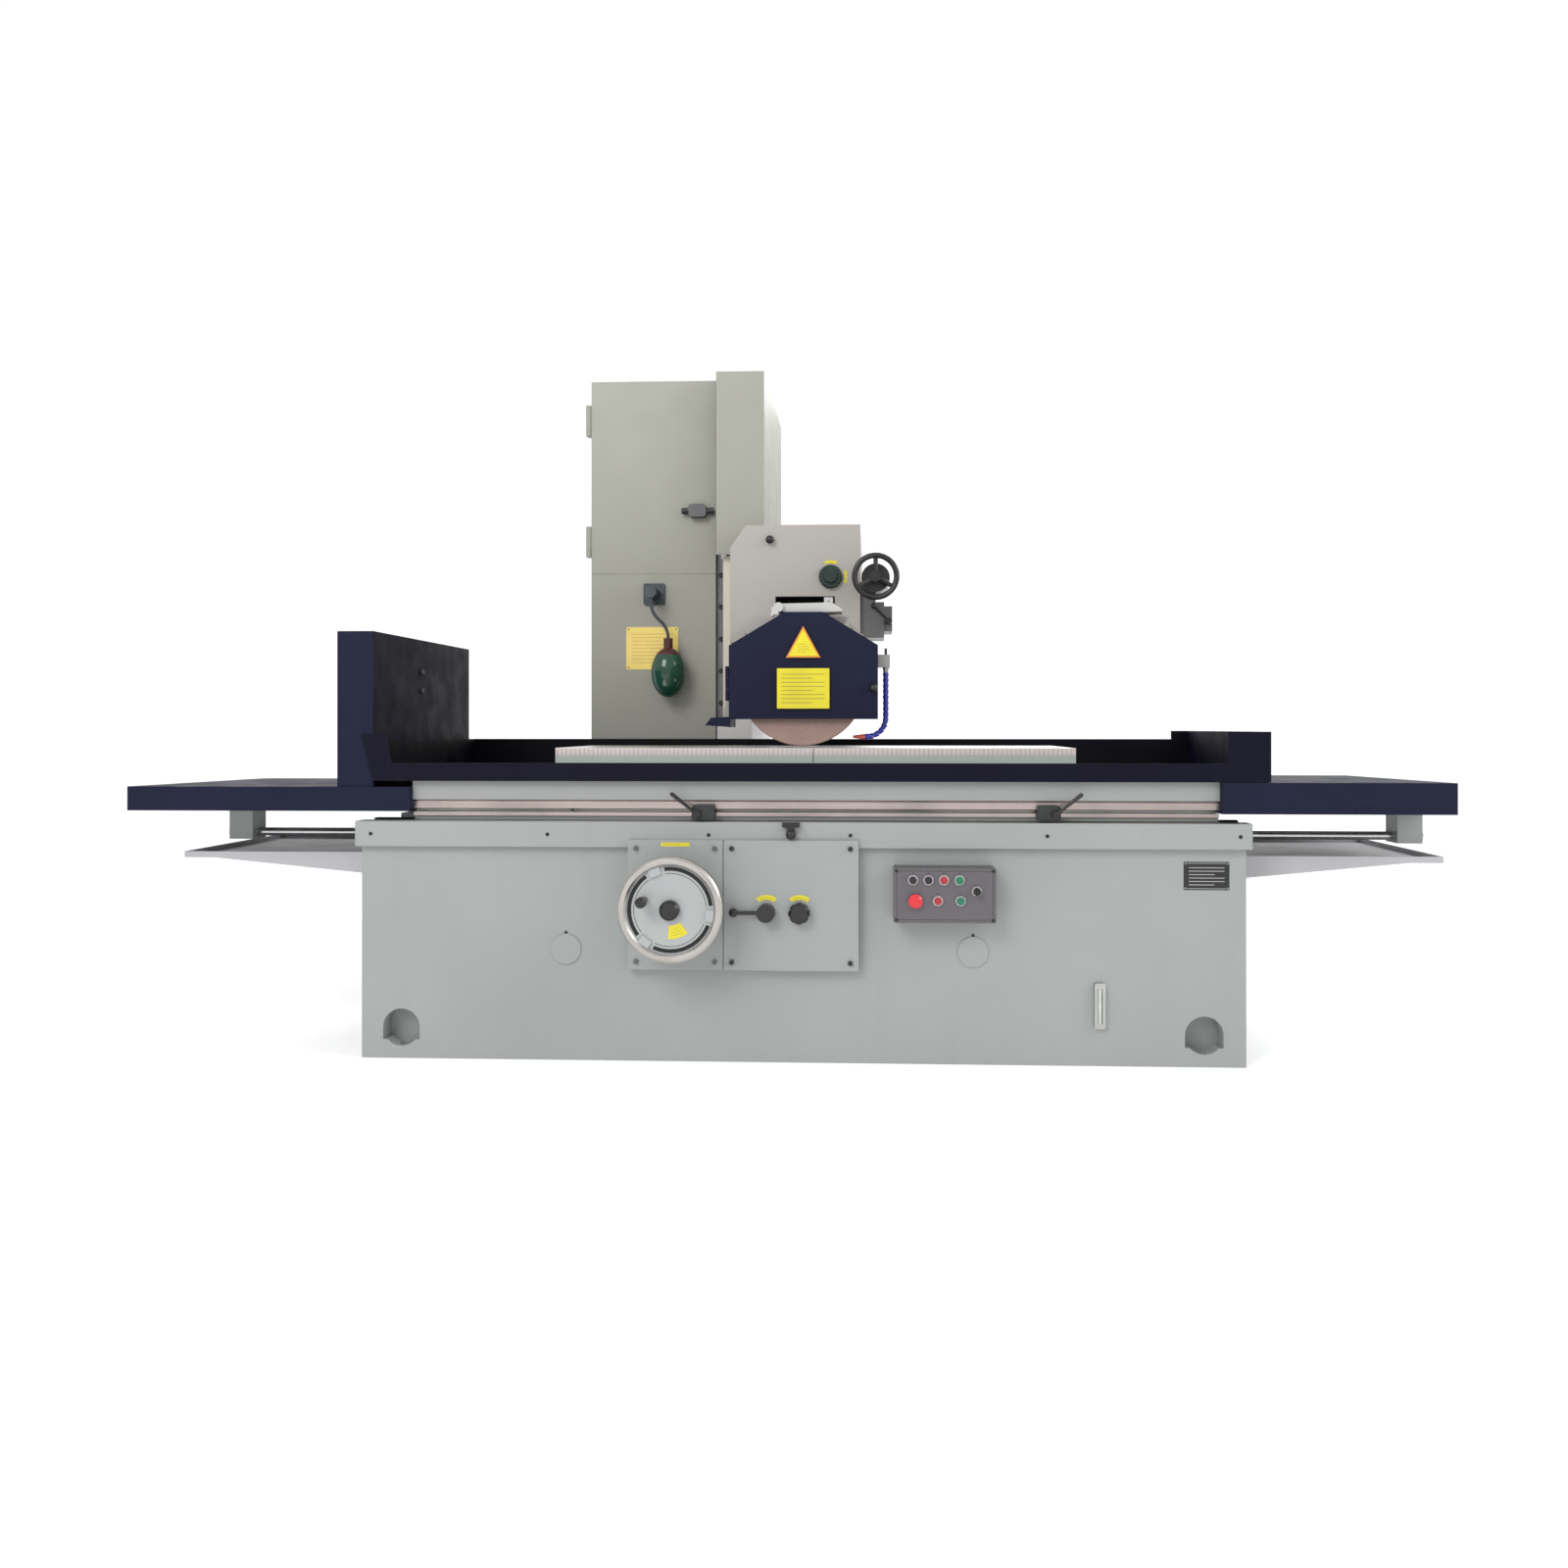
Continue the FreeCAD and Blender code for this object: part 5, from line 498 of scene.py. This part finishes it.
def coat_table():
    rail_top = table_high.z - 57 * MM
    strip_top = table_low.z + 46 * MM
    coat("table_casting", table_grey,
         (rail_steel, lambda c, n: c.z < rail_top and c.z > strip_top and abs(c.y) > 0.39),
         (way_steel, lambda c, n: c.z < rail_top - 10 * MM and abs(c.y) < 0.385))
    coat("way_covers", dark_blue)
    # the tall guard's inner face, towards +X, gets the trough's darker navy as painted shade
    coat("end_splash_guard", dark_blue, (trough_blue, lambda c, n: n.x > 0.5))
    trough_low, trough_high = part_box("splash_trough")
    lip = 8 * MM

    def inside_trough(centre, normal):
        return centre.y > trough_low.y + lip and trough_low.x + lip < centre.x < trough_high.x - lip

    # the trough's inner faces get near-black painted shade
    coat("splash_trough", trough_blue, (trough_painted_shade, inside_trough))
    coat("chuck_bases", chuck_grey)
    coat("chuck_faces", chuck_top)
    coat("piston_rod", bar_steel)


# ------------------------------------------------------------------ mesh building


def new_piece(name, builder, materials, body, smooth=True):
    """Makes an object from a filled bmesh, which then rides on a CAD body."""
    mesh = bpy.data.meshes.new(name)
    bmesh.ops.recalc_face_normals(builder, faces=builder.faces)
    builder.to_mesh(mesh)
    builder.free()
    for material in materials:
        mesh.materials.append(material)
    piece = bpy.data.objects.new(name, mesh)
    scene.collection.objects.link(piece)
    if smooth:
        for face in mesh.polygons:
            face.use_smooth = True
        mesh.set_sharp_from_angle(angle=math.radians(35))
    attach(piece, body)
    return piece


def add_slab(builder, outline, back, front, edge=0.4 * MM, material=0):
    """A flat piece facing the operator: an outline of (x, z) points, with its front edge softened."""
    vertices = [builder.verts.new((x, back, z)) for x, z in outline]
    base = builder.faces.new(vertices)
    raised = bmesh.ops.extrude_face_region(builder, geom=[base])["geom"]
    top = [v for v in raised if isinstance(v, bmesh.types.BMVert)]
    for vertex in top:
        vertex.co.y = front
    rim = [e for e in raised if isinstance(e, bmesh.types.BMEdge)]
    made = bmesh.ops.bevel(builder, geom=rim, offset=edge, segments=2, affect="EDGES", clamp_overlap=True)
    linked = set(made["faces"]) | {f for v in vertices for f in v.link_faces}
    linked |= {f for v in made["verts"] for f in v.link_faces}
    for face in linked:
        face.material_index = material


def rectangle(low_x, high_x, low_z, high_z, corner=3 * MM, steps=4):
    """A rectangle with round corners, as (x, z) points."""
    points = []
    corners = ((high_x - corner, low_z + corner, -90), (high_x - corner, high_z - corner, 0),
               (low_x + corner, high_z - corner, 90), (low_x + corner, low_z + corner, 180))
    for x, z, start in corners:
        for step in range(steps + 1):
            angle = math.radians(start + 90 * step / steps)
            points.append((x + corner * math.cos(angle), z + corner * math.sin(angle)))
    return points


def arc_band(x, z, inner, outer, start, end, steps=16):
    """Part of a flat ring, as (x, z) points."""
    angles = [math.radians(start + (end - start) * step / steps) for step in range(steps + 1)]
    outside = [(x + outer * math.cos(a), z + outer * math.sin(a)) for a in angles]
    inside = [(x + inner * math.cos(a), z + inner * math.sin(a)) for a in reversed(angles)]
    return outside + inside


def add_turned(builder, profile, place, turn=Matrix(), steps=24, material=0):
    """Turns a profile of (radius, height) points about local Z. turn stands it along another axis."""
    rings = []
    for radius, height in profile:
        if radius == 0:
            rings.append([builder.verts.new(place + turn @ Vector((0, 0, height)))])
            continue
        ring = []
        for step in range(steps):
            angle = 2 * math.pi * step / steps
            point = Vector((radius * math.cos(angle), radius * math.sin(angle), height))
            ring.append(builder.verts.new(place + turn @ point))
        rings.append(ring)
    for lower, upper in zip(rings, rings[1:]):
        for step in range(steps):
            after = (step + 1) % steps
            corners = [lower[step % len(lower)], lower[after % len(lower)],
                       upper[after % len(upper)], upper[step % len(upper)]]
            unique = [v for i, v in enumerate(corners) if v not in corners[:i]]
            builder.faces.new(unique).material_index = material


FACING_FRONT = Matrix.Rotation(math.radians(90), 3, "X")
FACING_RIGHT = Matrix.Rotation(math.radians(90), 3, "Y")


def add_cap_screw(builder, place, radius, reach, turn=FACING_FRONT, material=0):
    """A socket cap screw with a rounded rim and a hexagon socket."""
    socket = radius * 0.5
    head = [(radius, 0), (radius, reach * 0.75), (radius * 0.9, reach), (socket, reach)]
    hexagon = [(socket, reach), (socket, reach * 0.35), (0, reach * 0.25)]
    add_turned(builder, head, place, turn, 24, material)
    add_turned(builder, hexagon, place, turn, 6, material)


def make_screws(name, places, radius, reach, body, material, turn=FACING_FRONT):
    builder = bmesh.new()
    for place in places:
        add_cap_screw(builder, Vector(place), radius, reach, turn)
    return new_piece(name, builder, [material], body)


def add_print(builder, low_x, high_x, low_z, high_z, face, rows, thickness=0.15 * MM, material=1):
    """Plain ruled rows on a label, of two lengths in turn. They stand for print and say nothing."""
    pitch = (high_z - low_z) / rows
    for row in range(rows):
        z = low_z + (row + 0.5) * pitch
        end = high_x if row % 3 else low_x + 0.72 * (high_x - low_x)
        add_slab(builder, rectangle(low_x, end, z - 0.11 * pitch, z + 0.11 * pitch, 0.1 * pitch, 2),
                 face, face - thickness, 0.03 * MM, material)


# ------------------------------------------------------------------ plates, labels and small fittings

LABEL = 0.6 * MM
LABEL_EDGE = 0.15 * MM
PRINT_SINK = 0.05 * MM


def add_label(builder, outline, face):
    """A thin plate on a face, as deep as every small label."""
    add_slab(builder, outline, face, face - LABEL, LABEL_EDGE)


def add_printed_arc(builder, outline, face):
    """A raised line of print on a label that lies on a face."""
    add_slab(builder, outline, face - LABEL + PRINT_SINK, face - LABEL - 0.12 * MM, 0.03 * MM, 1)


def make_instruction_plate():
    """The yellow plate on the column behind the lamp, riveted at its corners."""
    low_x, high_x = door_high.x - 0.341, door_high.x - 0.143
    low_z, high_z = shade_low.z + 0.107, shade_low.z + 0.268
    face = column_low.y + 0.010
    builder = bmesh.new()
    add_slab(builder, rectangle(low_x, high_x, low_z, high_z, 6 * MM), face, face - 1.2 * MM)
    add_print(builder, low_x + 0.022, high_x - 0.022, low_z + 0.02, high_z - 0.02, face - 1.1 * MM, 9)
    inset = 8 * MM
    for x in (low_x + inset, high_x - inset):
        for z in (low_z + inset, high_z - inset):
            add_turned(builder, [(3 * MM, 0), (2.6 * MM, 1.2 * MM), (1.5 * MM, 2 * MM), (0, 2.3 * MM)],
                       Vector((x, face - 1 * MM, z)), FACING_FRONT, 16, 2)
    new_piece("instruction_plate", builder, [label_gold, gold_print, cast_steel], "bed")


def make_guard_labels():
    """The triangle and the square label on the wheel guard's door, with plain rows and no sign."""
    face = guard_sheet_front - 4 * MM
    builder = bmesh.new()
    wheel = middle("grinding_wheel")
    middle_x, half_width = wheel.x + 5 * MM, 0.054
    low_z, high_z = wheel.z + 0.074, wheel.z + 0.172
    border = 5 * MM
    for scale, depth, material in ((1.0, 0.0, 1), (1 - 3 * border / (high_z - low_z), LABEL, 0)):
        lift = (1 - scale) * (high_z - low_z) / 3
        foot = low_z + lift
        top = (middle_x, foot + scale * (high_z - low_z))
        outline = [(middle_x - scale * half_width, foot), (middle_x + scale * half_width, foot), top]
        add_slab(builder, outline, face - depth, face - depth - LABEL, LABEL_EDGE, material)
    add_print(builder, middle_x - 0.018, middle_x + 0.018, low_z + 0.014, low_z + 0.046,
              face - 2 * LABEL + PRINT_SINK, 4, material=2)
    enamels = [label_yellow, label_orange, label_print]
    new_piece("guard_triangle", builder, enamels, "guard_front")
    builder = bmesh.new()
    label_half_width = 81.5 * MM
    low_x, high_x = middle_x - label_half_width, middle_x + label_half_width
    low_z, high_z = wheel.z - 0.084, wheel.z + 0.041
    add_label(builder, rectangle(low_x, high_x, low_z, high_z, 2 * MM), face)
    add_print(builder, low_x + 14 * MM, high_x - 14 * MM, low_z + 12 * MM, high_z - 12 * MM,
              face - LABEL + PRINT_SINK, 8)
    new_piece("guard_label", builder, [label_yellow, label_print], "guard_front")


def make_name_plate():
    """The black plate at the right of the bed, with a pale frame and plain rows."""
    low_x, high_x = bed_high.x - 0.190, bed_high.x - 0.060
    low_z, high_z = bed_high.z - 0.192, bed_high.z - 0.111
    face = bed_face
    frame_width = 1.6 * MM
    builder = bmesh.new()
    add_slab(builder, rectangle(low_x, high_x, low_z, high_z, 4 * MM), face, face - 1.2 * MM)
    add_print(builder, low_x + 0.014, high_x - 0.014, low_z + 0.010, high_z - 0.012, face - 1.1 * MM, 6)
    for z in (low_z + 4 * MM, high_z - 4 * MM):
        span = (low_x + 10 * MM, high_x - 10 * MM)
        bar = rectangle(*span, z - frame_width / 2, z + frame_width / 2, 0.4 * MM, 2)
        add_slab(builder, bar, face - 1.1 * MM, face - 1.35 * MM, 0.05 * MM, 1)
    for x in (low_x + 5 * MM, high_x - 5 * MM):
        for z in (low_z + 5 * MM, high_z - 5 * MM):
            add_turned(builder, [(2.4 * MM, 0), (2 * MM, 1 * MM), (0, 1.7 * MM)],
                       Vector((x, face - 1 * MM, z)), FACING_FRONT, 16, 2)
    new_piece("name_plate", builder, [label_black, plate_print, gauge_steel], "bed")


def make_control_labels():
    """Yellow scales above the two hydraulic controls and on the handwheel's plate."""
    face = panel_low.y
    builder = bmesh.new()
    for joint in ("speed_lever_swing", "throttle_turn"):
        x, _, z = joint_place(joint)
        add_label(builder, arc_band(x, z, 36 * MM, 50 * MM, 52, 128), face)
        add_printed_arc(builder, arc_band(x, z, 42.5 * MM, 43.5 * MM, 62, 118), face)
    new_piece("control_labels", builder, [label_yellow, label_print], "bed")
    builder = bmesh.new()
    plate_middle = (feed_low.x + feed_high.x) / 2
    half_width = 42 * MM
    low_x, high_x = plate_middle - half_width, plate_middle + half_width
    low_z, high_z = feed_high.z - 0.0185, feed_high.z - 0.0075
    face = feed_low.y
    add_label(builder, rectangle(low_x, high_x, low_z, high_z, 1 * MM), face)
    add_print(builder, low_x + 6 * MM, high_x - 6 * MM, low_z + 3 * MM, high_z - 3 * MM,
              face - LABEL + PRINT_SINK, 1)
    new_piece("feed_label", builder, [label_yellow, label_print], "bed")


def make_dial_labels():
    """Two small yellow scales on the slide, above and right of the cross-feed dial."""
    dial = middle("crossfeed_dial")
    face = slide_low.y
    builder = bmesh.new()
    for start, end in ((66, 114), (-24, 24)):
        add_label(builder, arc_band(dial.x, dial.z, 49 * MM, 60 * MM, start, end), face)
    new_piece("dial_labels", builder, [label_yellow], "slide")


def make_slot_block():
    """The pale trip block in the cross-feed slot, with its clamp screw."""
    dial = middle("crossfeed_dial")
    low_x, high_x = dial.x - 0.024, dial.x + 0.008
    low_z, high_z = dial.z - 0.105, dial.z - 0.072
    back, front = slide_low.y + 14 * MM, slide_low.y + 4 * MM
    builder = bmesh.new()
    add_slab(builder, rectangle(low_x, high_x, low_z, high_z, 2 * MM), back, front, 1 * MM)
    screw_place = Vector(((low_x + high_x) / 2, front, (low_z + high_z) / 2))
    add_cap_screw(builder, screw_place, 6 * MM, 3 * MM, material=1)
    new_piece("slot_block", builder, [bezel_white, gauge_steel], "slide")


def make_keeper_bolts():
    """Cap screws in the front end of the gib keepers."""
    spacing = (keeper_high.z - keeper_low.z) / 5
    places = [((keeper_low.x + keeper_high.x) / 2, keeper_low.y, keeper_low.z + spacing * (row + 0.5))
              for row in range(5)]
    make_screws("keeper_screws", places, 9 * MM, 7 * MM, "slide", black_plastic)


def make_bed_screws():
    """The row of small plugs along the bed's flange, and the pins over the core-hole covers."""
    row_z = bed_high.z - 37 * MM
    places = [(x, flange_face, row_z) for x in (-1.259, -0.732, -0.257, 0.156, 0.723, 1.272)]
    make_screws("flange_plugs", places, 5.5 * MM, 1.5 * MM, "bed", black_plastic)
    cover_low, cover_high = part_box("core_hole_covers")
    radius = (cover_high.z - cover_low.z) / 2
    pins = [(x, bed_face, cover_high.z + 4 * MM) for x in (cover_low.x + radius, cover_high.x - radius)]
    make_screws("cover_pins", pins, 4.5 * MM, 1.5 * MM, "bed", black_plastic)


def make_table_plug():
    """The stop plug in the table's dog slot."""
    place = (-0.669, table_low.y + 1 * MM, table_low.z + 63 * MM)
    make_screws("table_plug", [place], 5 * MM, 2 * MM, "table", black_plastic)


def make_box_trim():
    """A dark frame line and corner screws on the button box, with small marks over the buttons."""
    face = button_box_low.y + 4 * MM
    inset, line = 8 * MM, 1.2 * MM
    low_x, high_x = button_box_low.x + inset, button_box_high.x - inset
    low_z, high_z = button_box_low.z + inset, button_box_high.z - inset
    builder = bmesh.new()
    strips = [(low_x, high_x, low_z, low_z + line), (low_x, high_x, high_z - line, high_z),
              (low_x, low_x + line, low_z, high_z), (high_x - line, high_x, low_z, high_z)]
    for strip in strips:
        add_slab(builder, rectangle(*strip, 0.3 * MM, 2), face, face - 0.4 * MM, 0.05 * MM)
    for node in BUTTONS:
        spot = middle(node)
        foot = spot.z + 18 * MM
        mark = rectangle(spot.x - 1.5 * MM, spot.x + 1.5 * MM, foot, foot + 3 * MM, 0.5 * MM, 2)
        add_slab(builder, mark, face, face - 0.3 * MM, 0.05 * MM)
    for x in (low_x, high_x):
        for z in (low_z, high_z):
            add_cap_screw(builder, Vector((x, face, z)), 4.5 * MM, 2.5 * MM)
    new_piece("button_box_trim", builder, [black_plastic], "bed")


def make_handwheel_trim():
    """Near-black painted shade in the gaps between the handwheel's tabs, with thin painted shade lines for
    the grooves beside them, and the yellow plate on its dial.
    """
    wheel = middle("feed_handwheel")
    builder = bmesh.new()
    for start, end in ((6, 98), (126, 218), (246, 338)):
        # near-black painted shade over each gap, and a thin painted shade line for its groove
        add_slab(builder, arc_band(wheel.x, wheel.z, 110 * MM, 121 * MM, start, end, 24),
                 dial_face, dial_face - 0.4 * MM, 0.1 * MM)
        add_slab(builder, arc_band(wheel.x, wheel.z, 102 * MM, 103.5 * MM, start, end, 24),
                 dial_face, dial_face - 0.3 * MM, 0.05 * MM)
    new_piece("handwheel_gap_shade", builder, [painted_shade_black], "table_handwheel")
    builder = bmesh.new()
    add_label(builder, arc_band(wheel.x, wheel.z, 44 * MM, 82 * MM, -94, -52), dial_face)
    for radius in (55 * MM, 63 * MM, 71 * MM):
        add_printed_arc(builder, arc_band(wheel.x, wheel.z, radius, radius + 1.2 * MM, -86, -60), dial_face)
    new_piece("handwheel_label", builder, [label_yellow, label_print], "table_handwheel")


def make_lamp_bulb():
    """A glass bulb and its holder inside the shade."""
    shade = middle("lamp_shade")
    builder = bmesh.new()
    holder = [(0, 0), (13 * MM, 0), (13 * MM, 20 * MM), (15 * MM, 22 * MM), (15 * MM, 30 * MM), (0, 30 * MM)]
    bulb = [(11 * MM, 30 * MM), (13 * MM, 38 * MM)]
    bulb += [(22 * MM * math.cos(a), 62 * MM + 22 * MM * math.sin(a))
             for a in (math.radians(degrees) for degrees in range(-50, 91, 14))]
    bulb[-1] = (0, bulb[-1][1])
    turn = Matrix.Rotation(math.pi, 3, "X")
    top = Vector((shade.x, shade.y + 8 * MM, shade_high.z - 82 * MM))
    add_turned(builder, holder, top, turn, 24, 1)
    add_turned(builder, bulb, top, turn, 32, 0)
    new_piece("lamp_bulb", builder, [lamp_glass, bakelite], "shade")


def make_guard_fasteners():
    """Two clamp screws on the inner face of the tall splash guard."""
    places = [(tall_guard_high.x, -0.045, z) for z in (1.098, 1.160)]
    make_screws("tall_guard_screws", places, 9 * MM, 6 * MM, "table", cast_steel, FACING_RIGHT)


make_camera()
make_stage()
make_light()
coat_bed()
coat_controls()
coat_column()
coat_slide()
coat_wheelhead()
coat_table()
make_instruction_plate()
make_guard_labels()
make_name_plate()
make_control_labels()
make_dial_labels()
make_slot_block()
make_keeper_bolts()
make_bed_screws()
make_table_plug()
make_box_trim()
make_handwheel_trim()
make_lamp_bulb()
make_guard_fasteners()
